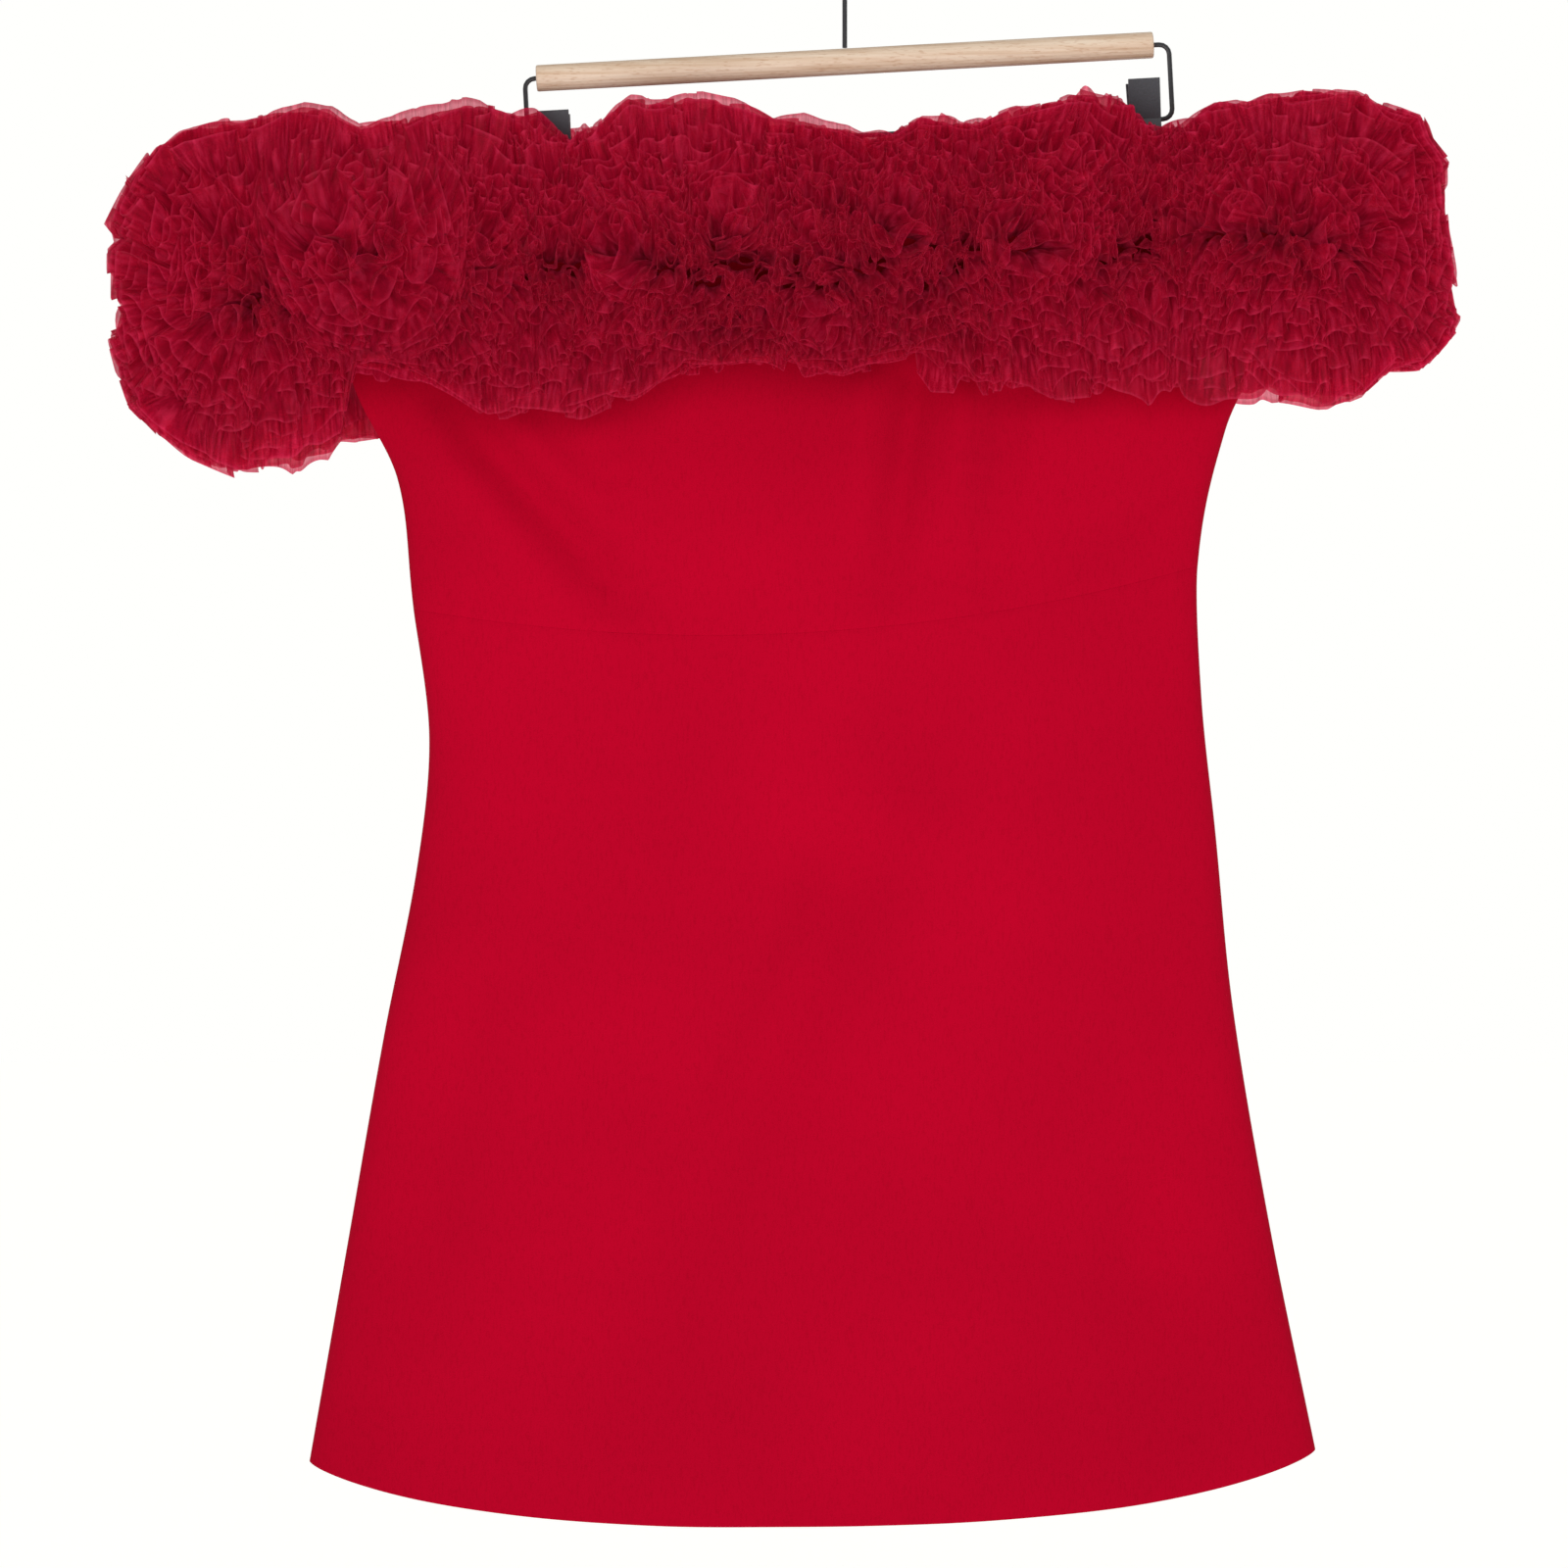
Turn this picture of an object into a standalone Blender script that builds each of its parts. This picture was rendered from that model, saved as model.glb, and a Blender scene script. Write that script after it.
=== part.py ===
"""An off-shoulder mini dress with a band of gathered ruffles, on a clip hanger with a beech rod.

The dress hangs nearly flat from two clips, tilted a little with its hanger. +Z is up and the
front faces -Y. The origin is the inside top of the hook, where a rail carries it. Left and
right are as seen from the front. Tables are in millimetres, everything else is in metres.
"""

import math
from bisect import bisect_right
from collections import namedtuple

import bmesh
import bpy
from mathutils import Quaternion, Vector
from mathutils.bvhtree import BVHTree

MM = 0.001
UP = Vector((0, 0, 1))
FRONT = -1
BACK = 1
LEFT = -1
RIGHT = 1

# Cloth
CREPE_WALL = 1.5 * MM
ORGANZA_WALL = 1.0 * MM
SEAM = 0.3 * MM  # the gap between two pieces that are sewn together
ROOT_GAP = 0.6 * MM  # between a ruffle and the panel that it is sewn to

# Rows of the dress from its top edge to its hem. "down" is 0 at the top edge, 1 at the waist
# seam and 2 at the hem. "dip" is how far a row's middle hangs below the line between its ends,
# "depth" half the thickness of the dress there, and "gap" half of the armhole's opening.
Row = namedtuple("Row", "down left_x left_z right_x right_z dip depth gap")
ROWS = (
    Row(0.00, -254, -149.5, 214, -124.0, 0, 15, 11),
    Row(0.40, -252, -242.5, 216, -217.5, 8, 20, 11),
    Row(0.68, -228, -298.5, 194, -273.5, 15, 24, 0),
    Row(1.00, -220, -364.5, 180, -342.5, 23.5, 26, 0),
    Row(1.15, -212, -429.5, 182, -410.0, 26, 27, 0),
    Row(1.30, -218, -494.5, 189, -477.5, 28, 27.5, 0),
    Row(1.50, -235, -581.5, 198, -567.5, 30, 28, 0),
    Row(1.75, -254, -690.0, 217, -680.0, 31.5, 29.5, 0),
    Row(2.00, -273, -798.5, 240, -792.5, 32.5, 31, 0),
)
WAIST = 1.0
HEM = 2.0
BAND_FOOT = 0.40  # where the sleeve bands leave the bodice
UNDERARM = 0.68
ZIP_END = 1.32
BODICE_LENGTH = 217 * MM
SKIRT_LENGTH = 440 * MM
TUBE_SWELL = 0.8  # the dress is a little flatter than an ellipse and turns fast at its sides
BAND_SWELL = 2.0  # above the armholes it runs smoothly into the sleeve bands
WAIST_BOW = (2.0, 1.0)  # the powers that give the waist seam's curve
HEM_BOW = (2.6, 0.8)  # and the hem's, which is flatter in its middle

PRINCESS_SEAMS_X = (-121, 66)

# Soft folds: a line from (x0, z0) to (x1, z1), its half width, and how far it stands out (or in).
Fold = namedtuple("Fold", "x0 z0 x1 z1 width rise")
FRONT_FOLDS = (
    Fold(-203, -258, -111, -358, 15, -5.0),
    Fold(-231, -262, -135, -372, 17, 3.0),
    Fold(36, -252, 21, -354, 13, -3.0),
    Fold(84, -258, 74, -354, 13, -2.0),
    Fold(39, -404, -1, -504, 26, -3.0),
    Fold(-1, -504, -106, -728, 30, -4.0),
    Fold(154, -668, 144, -744, 22, -3.0),
    Fold(-190, -560, -215, -720, 24, -2.5),
)
BACK_FOLDS = (
    Fold(-150, -265, -95, -350, 16, -4.0),
    Fold(140, -262, 95, -345, 16, -4.0),
    Fold(70, -420, 120, -640, 28, -4.0),
    Fold(-80, -430, -130, -600, 26, -3.0),
    Fold(-150, -640, -165, -760, 24, -3.0),
)

# Hanger
TILT = math.radians(3.1)  # its right end hangs higher
ROD_Z = -85 * MM
ROD_LENGTH = 315 * MM
ROD_RADIUS = 6.75 * MM
ROD_EDGE = 0.8 * MM
WIRE_RADIUS = 1.25 * MM
WIRE_DROP = 38 * MM  # from the rod's axis to the lower wire
WIRE_BEND = 5 * MM
ARM_REACH = {LEFT: 6 * MM, RIGHT: 8 * MM}  # how far each arm stands off the rod's end
HOOK_INSIDE = 19 * MM
HOOK_START = math.radians(-50)
HOOK_END = math.radians(200)
HOOK_STEPS = 18
HOOK_BEND = 9 * MM
CLIPS_X = (-149.5 * MM, 151 * MM)
CLIP_WIDTH = 16 * MM
# Half of a clip's side view, the front jaw, as (away from the cloth, up) from the wire's centre.
JAW = (
    (8.0, 20.0), (10.5, 20.0), (5.0, 0.0), (5.0, -20.0), (4.0, -26.5), (1.95, -26.5),
    (1.95, -11.5), (2.8, -8.0), (1.6, 0.0), (3.0, 4.0),
)  # fmt: skip
PINCH_FLAT = 25  # the clips press the cloth flat this far to each side, in millimetres
PINCH_END = 62
PINCH_FLAT_DOWN = 0.12
PINCH_END_DOWN = 0.46

# Sleeve bands: where the fold at the outer end of each lies.
Sleeve = namedtuple("Sleeve", "name fold_x top_z foot_z")
SLEEVES = {
    LEFT: Sleeve("sleeve_band_left", -322, -152, -266),
    RIGHT: Sleeve("sleeve_band_right", 270, -129, -228),
}

# Ruffle strips. "down" is where the strip is sewn, as a share of the band's height. A strip
# starts at start_turn degrees above level and curls on to lean times the lean of the lumps below.
Strip = namedtuple("Strip", "name down width start_turn lean steps_out")
STRIPS = (
    Strip("top", 0.12, 66, 10, 1.0, 2),
    Strip("upper", 0.37, 45, 3, 0.45, 1),
    Strip("lower", 0.62, 45, -3, 0.45, 1),
    Strip("bottom", 0.86, 58, -10, 1.0, 2),
)
CLIP_DETOUR = 9.5 * MM  # the top strip passes this much lower under the clips
WAVES = 44  # in each strip, all round the dress
STEPS_A_WAVE = 6
ROOT_WAVE = 3.2 * MM
EDGE_WAVE = 10 * MM
CENTRE_BACK_GAP = 13 * MM  # room for the zip's slider
WAVE_SPREAD = 0.18  # how much the waves differ in height
WIDTH_SPREAD = 0.06  # and a strip in its width
RUN_STEPS = 40  # points in each of the three runs of a band's path
PATH_POINTS = 241
EVEN_OVER = 6  # a strip's outward direction is evened out over this many steps to each side
SEEK = 8 * MM  # how far out a panel's face is looked for

LUMP_SHIFT = {FRONT: 0, BACK: -14}  # the back's lumps lie a little further right
# Lumps of the ruffles along the front: how far the top strip leans up and the bottom one down.
Lump = namedtuple("Lump", "x lean_up lean_down")
LUMPS = (
    Lump(-322, 86, 106),
    Lump(-276, 102, 106),
    Lump(-246, 72, 66),
    Lump(-181, 102, 82),
    Lump(-126, 66, 75),
    Lump(-81, 88, 42),
    Lump(-20, 46, 32),
    Lump(9, 24, 34),
    Lump(39, 44, 30),
    Lump(84, 44, 62),
    Lump(114, 68, 84),
    Lump(159, 40, 98),
    Lump(189, 48, 108),
    Lump(234, 46, 112),
    Lump(270, 44, 108),
)


def mix(a, b, share):
    return a + (b - a) * share


def ease(share):
    """0 to 1 with a soft start and end."""
    share = min(max(share, 0), 1)
    return share * share * (3 - 2 * share)


def smooth(rows, column, at):
    """A smooth curve through a table's column, along the table's first column."""
    places = [row[0] for row in rows]
    values = [getattr(row, column) for row in rows]
    at = min(max(at, places[0]), places[-1])
    i = min(bisect_right(places, at) - 1, len(rows) - 2)
    span = places[i + 1] - places[i]
    t = (at - places[i]) / span

    def slope(k):
        before, after = max(k - 1, 0), min(k + 1, len(rows) - 1)
        return (values[after] - values[before]) / (places[after] - places[before]) * span

    return (
        (2 * t**3 - 3 * t**2 + 1) * values[i]
        + (t**3 - 2 * t**2 + t) * slope(i)
        + (3 * t**2 - 2 * t**3) * values[i + 1]
        + (t**3 - t**2) * slope(i + 1)
    )


def clear_scene():
    for obj in list(bpy.data.objects):
        bpy.data.objects.remove(obj, do_unlink=True)


def linear(colour):
    """An sRGB hex colour as Blender's linear RGBA."""
    parts = [int(colour[i : i + 2], 16) / 255 for i in (0, 2, 4)]
    return [p / 12.92 if p <= 0.04045 else ((p + 0.055) / 1.055) ** 2.4 for p in parts] + [1]


def make_material(name, colour, roughness, metallic=0.0):
    material = bpy.data.materials.new(name)
    material.use_nodes = True
    shader = material.node_tree.nodes["Principled BSDF"]
    shader.inputs["Base Color"].default_value = linear(colour)
    shader.inputs["Roughness"].default_value = roughness
    shader.inputs["Metallic"].default_value = metallic
    return material


def add_object(name, data, material):
    obj = bpy.data.objects.new(name, data)
    bpy.context.scene.collection.objects.link(obj)
    data.materials.append(material)
    return obj


def add_mesh(name, bm, material, smooth_under=40):
    mesh = bpy.data.meshes.new(name)
    bm.to_mesh(mesh)
    bm.free()
    mesh.shade_smooth()
    mesh.set_sharp_from_angle(angle=math.radians(smooth_under))
    return add_object(name, mesh, material)


def add_cloth(name, across, down, place, wall, material):
    """A wall of cloth on a grid. place(s, t, inset) puts a grid point s across and t down, inset
    from the cloth's outer face."""
    bm = bmesh.new()
    bmesh.ops.create_grid(bm, x_segments=across, y_segments=down, size=0.5)
    inner = list(bm.verts)
    grown = bmesh.ops.extrude_face_region(bm, geom=list(bm.faces))["geom"]
    outer = [v for v in grown if isinstance(v, bmesh.types.BMVert)]
    # The faces are turned outwards while the wall is still a flat slab.
    bmesh.ops.translate(bm, vec=(0, 0, 1), verts=outer)
    bmesh.ops.recalc_face_normals(bm, faces=bm.faces)
    for verts, inset in ((outer, 0), (inner, wall)):
        for v in verts:
            v.co = place(v.co.x + 0.5, 0.5 - v.co.y, inset)
    if bm.calc_volume(signed=True) < 0:
        bmesh.ops.reverse_faces(bm, faces=bm.faces)
    return add_mesh(name, bm, material)


def row_edges(down):
    """The ends of a row, (x, z) at the left and at the right, in metres."""
    return [
        (smooth(ROWS, f"{side}_x", down) * MM, smooth(ROWS, f"{side}_z", down) * MM)
        for side in ("left", "right")
    ]


def clip_pinch(x, down):
    """1 where a clip presses the cloth flat, and 0 well away from the clips."""
    away = min(abs(x - clip) for clip in CLIPS_X) / MM
    beside = ease((PINCH_END - away) / (PINCH_END - PINCH_FLAT))
    below = ease((PINCH_END_DOWN - down) / (PINCH_END_DOWN - PINCH_FLAT_DOWN))
    return beside * below


def fold_depth(folds, x, z):
    """How far the folds lift the cloth at a point, in metres."""
    total = 0
    for fold in folds:
        along = Vector((fold.x1 - fold.x0, fold.z1 - fold.z0)) * MM
        reach = Vector((x - fold.x0 * MM, z - fold.z0 * MM))
        share = min(max(reach.dot(along) / along.length_squared, 0), 1)
        away = (reach - along * share).length / (fold.width * MM)
        total += fold.rise * MM * math.exp(-away * away)
    return total


def body(s, down, side, inset):
    """A point of the dress, s from 0 at its left side edge to 1 at its right one."""
    (left_x, left_z), (right_x, right_z) = row_edges(down)
    depth = smooth(ROWS, "depth", down) * MM - inset
    gap = max(smooth(ROWS, "gap", down) * MM - inset, 0)
    across = -math.cos(math.pi * s)
    x = mix(left_x + inset, right_x - inset, (1 + across) / 2)
    bow = ease(down - WAIST)
    rounding, power = (mix(a, b, bow) for a, b in zip(WAIST_BOW, HEM_BOW))
    dip = smooth(ROWS, "dip", down) * MM * max(1 - abs(across) ** rounding, 0) ** power
    z = mix(left_z, right_z, (1 + across) / 2) - dip
    closing = ease((down - BAND_FOOT) / (UNDERARM - BAND_FOOT))
    swell = max(math.sin(math.pi * s), 0) ** mix(BAND_SWELL, TUBE_SWELL, closing)
    y = gap + (depth - gap) * swell
    folds = FRONT_FOLDS if side == FRONT else BACK_FOLDS
    y = y + fold_depth(folds, x, z) * swell
    y = mix(y, CREPE_WALL - inset, clip_pinch(x, down))
    return Vector((x, side * (SEAM / 2 + y), z))


def share_at(x, down):
    """The s of body() where a row crosses x."""
    (left_x, _), (right_x, _) = row_edges(down)
    return math.acos(1 - 2 * (x - left_x) / (right_x - left_x)) / math.pi


def centre_back(down):
    (left_x, _), (right_x, _) = row_edges(down)
    return (left_x + right_x) / 2


def add_panel(name, side, edges, rows, across, down, material):
    """A panel of the dress. edges are functions of the row that give its left and right s,
    and rows are its first and last row."""

    def place(s, t, inset):
        row = mix(rows[0], rows[1], t)
        return body(mix(edges[0](row), edges[1](row), s), row, side, inset)

    return add_cloth(name, across, down, place, CREPE_WALL, material)


def seam_at(x_of, offset):
    """The s just beside a seam that runs down the line x_of(row)."""
    return lambda row: share_at(x_of(row) + offset * SEAM / 2, row)


def build_dress(material):
    """The bodice, skirt and zip."""
    waist_above = WAIST - SEAM / 2 / BODICE_LENGTH
    waist_below = WAIST + SEAM / 2 / SKIRT_LENGTH
    bodice, skirt = (0, waist_above), (waist_below, HEM)
    left_seam, right_seam = (lambda row, x=x: x * MM for x in PRINCESS_SEAMS_X)

    def side_left(row):
        return 0

    def side_right(row):
        return 1

    panels = (
        ("bodice_side_front_left", FRONT, (side_left, seam_at(left_seam, -1)), bodice, 11, 8),
        ("bodice_centre_front", FRONT, (seam_at(left_seam, 1), seam_at(right_seam, -1)), bodice, 10, 8),
        ("bodice_side_front_right", FRONT, (seam_at(right_seam, 1), side_right), bodice, 10, 8),
        ("bodice_back_left", BACK, (side_left, seam_at(centre_back, -1)), bodice, 14, 8),
        ("bodice_back_right", BACK, (seam_at(centre_back, 1), side_right), bodice, 14, 8),
        ("skirt_front", FRONT, (side_left, side_right), skirt, 22, 11),
        ("skirt_back_left", BACK, (side_left, seam_at(centre_back, -1)), skirt, 10, 10),
        ("skirt_back_right", BACK, (seam_at(centre_back, 1), side_right), skirt, 10, 10),
    )
    return [add_panel(*panel, material) for panel in panels]


def build_zip(tape, metal):
    """The closed zip behind the centre back seam, and its slider, outside at the top."""
    half_width = 5 * MM
    thickness = 1.2 * MM
    behind = CREPE_WALL + 2 * SEAM
    first_row = 0.02

    def place(s, t, inset):
        row = mix(first_row, ZIP_END, t)
        x = centre_back(row) + mix(-half_width, half_width, s)
        point = body(share_at(x, row), row, BACK, 0)
        return point - Vector((0, behind + inset, 0))

    add_cloth("zip", 2, 18, place, thickness, tape)
    slider_row = 0.06
    width, height, stand = 5 * MM, 11 * MM, 1.8 * MM
    seat = body(share_at(centre_back(slider_row), slider_row), slider_row, BACK, 0)
    bm = bmesh.new()
    bmesh.ops.create_cube(bm, size=1)
    bmesh.ops.scale(bm, vec=(width, stand, height), verts=bm.verts)
    edges = [e for e in bm.edges if abs(e.verts[0].co.y - e.verts[1].co.y) > stand / 2]
    bmesh.ops.bevel(
        bm, geom=edges, offset=1.5 * MM, segments=3, profile=0.5, affect="EDGES", material=-1
    )
    centre = seat + Vector((0, SEAM + stand / 2, 0))
    bmesh.ops.translate(bm, vec=centre, verts=bm.verts)
    add_mesh("zip_slider", bm, metal)


def sleeve(hand, turn, down, inset):
    """A point of a sleeve band. turn runs from 0 at its front seam to pi at its back one, and
    down from 0 at its top edge to 1 at its foot. Seen from above the band is two straight runs
    and a half circle round the outer end."""
    band = SLEEVES[hand]
    x, z = row_edges(down * BAND_FOOT)[0 if hand == LEFT else 1]
    radius = smooth(ROWS, "gap", down * BAND_FOOT) * MM - inset + SEAM / 2
    run = abs(band.fold_x * MM - x) - SEAM - inset - radius
    along = (run + radius * math.pi / 2) * math.sin(turn)
    angle = max(along - run, 0) / radius
    out = min(along, run) + radius * math.sin(angle)
    y = radius * math.cos(angle) * (-1 if turn < math.pi / 2 else 1)
    fold_z = mix(band.top_z, band.foot_z, down) * MM
    return Vector((x + hand * (SEAM + out), y, mix(z, fold_z, out / (run + radius))))


def build_sleeves(material):
    """The two off-shoulder bands, each open at its top and foot."""

    def place_for(hand):
        return lambda s, t, inset: sleeve(hand, math.pi * s, t, inset)

    return [
        add_cloth(band.name, 22, 4, place_for(hand), CREPE_WALL, material)
        for hand, band in SLEEVES.items()
    ]


def band_path(side, down):
    """Points along the outside of the band on one side, from its left fold to its right one."""
    row = down * BAND_FOOT
    steps = [i / RUN_STEPS for i in range(RUN_STEPS + 1)]
    out = 0 if side == FRONT else math.pi  # the sleeves' turn at their seam on this side
    points = [sleeve(LEFT, mix(math.pi / 2, out, t), down, 0) for t in steps]
    points += [body(t, row, side, 0) for t in steps]
    points += [sleeve(RIGHT, mix(out, math.pi / 2, t), down, 0) for t in steps]
    return [point + Vector((0, side * SEAM, 0)) for point in points]


def spaced(points, count):
    """count points evenly spaced along a line of points."""
    lengths = [0]
    for a, b in zip(points, points[1:]):
        lengths.append(lengths[-1] + (b - a).length)
    evenly = []
    for k in range(count):
        at = lengths[-1] * k / (count - 1)
        i = min(bisect_right(lengths, at) - 1, len(points) - 2)
        span = max(lengths[i + 1] - lengths[i], 1e-9)
        evenly.append(points[i].lerp(points[i + 1], (at - lengths[i]) / span))
    return evenly


def outward(points, side):
    """The level direction away from the band at each point, evened out along the band."""
    found = []
    for i in range(len(points)):
        before, after = max(i - EVEN_OVER, 0), min(i + EVEN_OVER, len(points) - 1)
        along = points[after] - points[before]
        at_fold = abs(points[i].y) < 2 * SEAM
        if at_fold:
            along = Vector((0, -side * math.copysign(1, points[i].x), 0))
        found.append(Vector((-side * along.y, side * along.x, 0)).normalized())
    return found


def seat_on(point, away, panels):
    """A point of the band, moved out by a ruffle's gap, and by as much as the panels' flat
    faces lie outside the curve there."""
    hits = [tree.ray_cast(point + away * SEEK, -away, SEEK) for tree in panels]
    proud = [SEEK - hit[3] for hit in hits if hit[0] is not None]
    return point + away * (ROOT_GAP + max(proud, default=0))


def add_ruffle(name, strip, side, shares, waves, panels, material):
    """A gathered strip, sewn to the band along one edge and standing off it. shares are the
    first and last place on the band's path."""
    columns = waves * STEPS_A_WAVE
    path = spaced(band_path(side, strip.down), PATH_POINTS)
    first, last = (round(share * (len(path) - 1)) for share in shares)
    path = path[first : last + 1]
    line = spaced(path, columns + 1)
    away = outward(line, side)
    sign = 1 if strip.start_turn > 0 else -1
    lean_column = "lean_up" if sign > 0 else "lean_down"
    roots, turns, sizes = [], [], []
    for i, point in enumerate(line):
        lean = math.radians(smooth(LUMPS, lean_column, point.x / MM + LUMP_SHIFT[side]))
        turns.append(lean * strip.lean * sign)
        under_clip = clip_pinch(point.x, 0) if strip.name == "top" else 0
        roots.append(point - UP * CLIP_DETOUR * under_clip)
        at_wave = i / STEPS_A_WAVE
        spread = 1 + WAVE_SPREAD * math.sin(1.3 * at_wave + 9 * strip.down)
        sizes.append(math.cos(2 * math.pi * at_wave) * spread)
    start = math.radians(strip.start_turn)

    def column_point(i, t):
        """The middle of the strip at a column, t from its root to its free edge."""
        turn = mix(start, turns[i], t)
        bend = turns[i] - start
        spread = 1 + WIDTH_SPREAD * math.sin(2.1 * i / STEPS_A_WAVE + strip.width)
        width = strip.width * MM * spread
        out = (math.sin(turn) - math.sin(start)) / bend
        up = (math.cos(start) - math.cos(turn)) / bend
        root = seat_on(roots[i] + UP * sizes[i] * ROOT_WAVE, away[i], panels)
        across = UP * math.cos(turn * t) - away[i] * math.sin(turn * t)
        grown = (EDGE_WAVE - ROOT_WAVE) * t
        return root + away[i] * width * out + UP * width * up + across * sizes[i] * grown

    rows = strip.steps_out
    grid = [[column_point(i, k / rows) for k in range(rows + 1)] for i in range(columns + 1)]

    def place(s, t, inset):
        i, k = round(s * columns), round(t * rows)
        along = grid[min(i + 1, columns)][k] - grid[max(i - 1, 0)][k]
        if i in (0, columns):
            along = away[i].cross(UP) * side  # so that the strip's end is cut off square
        out = grid[i][min(k + 1, rows)] - grid[i][max(k - 1, 0)]
        if k == 0:
            out = away[i]
        facing = along.cross(out).normalized()
        return grid[i][k] + facing * (ORGANZA_WALL / 2 - inset)

    return add_cloth(name, columns, rows, place, ORGANZA_WALL, material)


def build_ruffles(panels, material):
    """Each strip in three pieces: one across the front and two at the back, beside the zip."""
    trees = []
    for panel in panels:
        bm = bmesh.new()
        bm.from_mesh(panel.data)
        trees.append(BVHTree.FromBMesh(bm))
        bm.free()
    for strip in STRIPS:
        path = band_path(BACK, strip.down)
        length = sum((b - a).length for a, b in zip(path, path[1:]))
        half_gap = CENTRE_BACK_GAP / 2 / length
        pieces = (
            ("front", FRONT, (0, 1), WAVES // 2),
            ("back_left", BACK, (0, 0.5 - half_gap), WAVES // 4),
            ("back_right", BACK, (0.5 + half_gap, 1), WAVES // 4),
        )
        for place, side, shares, waves in pieces:
            name = f"ruffle_{strip.name}_{place}"
            add_ruffle(name, strip, side, shares, waves, trees, material)


def rounded(corners, radius, steps=4):
    """A line through corners, each inner one rounded to a radius."""
    line = [corners[0]]
    for before, corner, after in zip(corners, corners[1:], corners[2:]):
        a, b = (before - corner).normalized(), (after - corner).normalized()
        half = a.angle(b) / 2
        centre = corner + (a + b).normalized() * radius / math.sin(half)
        start, end = (corner + d * radius / math.tan(half) - centre for d in (a, b))
        axis, turn = start.cross(end), start.angle(end)
        for i in range(steps + 1):
            line.append(centre + Quaternion(axis, turn * i / steps) @ start)
    return line + [corners[-1]]


def add_wire(name, points, material):
    curve = bpy.data.curves.new(name, "CURVE")
    curve.dimensions = "3D"
    curve.bevel_depth = WIRE_RADIUS
    curve.bevel_resolution = 2
    curve.use_fill_caps = True
    spline = curve.splines.new("POLY")
    spline.points.add(len(points) - 1)
    for place, point in zip(spline.points, points):
        place.co = (*point, 1)
    return add_object(name, curve, material)


def build_hanger(wood, steel, plastic):
    """The rod with its wire frame and clips, tilted about the rod's middle, and the hook."""
    frame = bpy.data.objects.new("hanger_frame", None)
    bpy.context.scene.collection.objects.link(frame)
    frame.location = (0, 0, ROD_Z)
    frame.rotation_euler = (0, -TILT, 0)

    bm = bmesh.new()
    bmesh.ops.create_cone(
        bm, cap_ends=True, segments=24, radius1=ROD_RADIUS, radius2=ROD_RADIUS, depth=ROD_LENGTH
    )
    ends = [e for e in bm.edges if abs(e.verts[0].co.z - e.verts[1].co.z) < ROD_LENGTH / 2]
    bmesh.ops.bevel(
        bm, geom=ends, offset=ROD_EDGE, segments=2, profile=0.5, affect="EDGES", material=-1
    )
    rod = add_mesh("hanger_rod", bm, wood)
    rod.rotation_euler = (0, math.pi / 2, 0)
    rod.parent = frame

    low = Vector((0, 0, -WIRE_DROP))
    corners = []
    for hand in (LEFT, RIGHT):
        end = Vector((hand * (ROD_LENGTH / 2 + SEAM), 0, 0))
        arm = Vector((hand * (ROD_LENGTH / 2 + ARM_REACH[hand]), 0, 0))
        corners.append([end, arm, arm + low])
    wire = add_wire("wire_frame", rounded(corners[0] + corners[1][::-1], WIRE_BEND), steel)
    wire.parent = frame

    for name, clip_x in zip(("left", "right"), CLIPS_X):
        for side, place in ((FRONT, "front"), (BACK, "back")):
            bm = bmesh.new()
            verts = [
                bm.verts.new((-CLIP_WIDTH / 2, side * away * MM, up * MM - WIRE_DROP))
                for away, up in JAW
            ]
            face = bm.faces.new(verts)
            grown = bmesh.ops.extrude_face_region(bm, geom=[face])["geom"]
            moved = [v for v in grown if isinstance(v, bmesh.types.BMVert)]
            bmesh.ops.translate(bm, vec=(CLIP_WIDTH, 0, 0), verts=moved)
            bmesh.ops.recalc_face_normals(bm, faces=bm.faces)
            jaw = add_mesh(f"clip_{name}_{place}_jaw", bm, plastic, smooth_under=25)
            jaw.location = (clip_x / math.cos(TILT), 0, 0)
            jaw.parent = frame

    radius = HOOK_INSIDE + WIRE_RADIUS
    centre = Vector((0, 0, -HOOK_INSIDE))
    arc = [mix(HOOK_START, HOOK_END, i / HOOK_STEPS) for i in range(HOOK_STEPS + 1)]
    hook = [centre + radius * Vector((math.cos(a), 0, math.sin(a))) for a in arc]
    # The bend below the arc lies where the arc's tangent meets the shank's line.
    down = Vector((math.sin(HOOK_START), 0, -math.cos(HOOK_START)))
    knee = hook[0] + down * (hook[0].x / -down.x)
    foot = Vector((0, 0, ROD_Z + ROD_RADIUS / math.cos(TILT) + SEAM))
    add_wire("hook", rounded([foot, knee, hook[0]], HOOK_BEND) + hook[1:], steel)


def main():
    clear_scene()
    crepe = make_material("red crepe", "C20027", 0.75)
    organza = make_material("crimson organza", "A00523", 0.6)
    tape = make_material("red zip tape", "A80425", 0.7)
    beech = make_material("beech", "D9C0A3", 0.6)
    steel = make_material("black steel wire", "26262A", 0.45, 0.6)
    plastic = make_material("black plastic", "1B1D26", 0.5)
    panels = build_dress(crepe)
    sleeves = build_sleeves(crepe)
    build_zip(tape, tape)
    build_ruffles(panels[:5] + sleeves, organza)
    build_hanger(beech, steel, plastic)


main()
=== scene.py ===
# %% [markdown]
# An off-shoulder mini dress hung nearly flat from a clip hanger. The body is a matte red crepe,
# smooth and rather heavy, cut in panels with princess seams, a waist seam and two skirt darts.
# Round the neckline and the sleeve bands runs a deep mass of gathered organza ruffles. The CAD
# holds the dress's true form, so the lesson is how to turn that form into cloth: thin shells
# with creases and seams for the crepe, and many finely waved strips for the organza.

# %% Load the frame
import math
from collections import namedtuple

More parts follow.
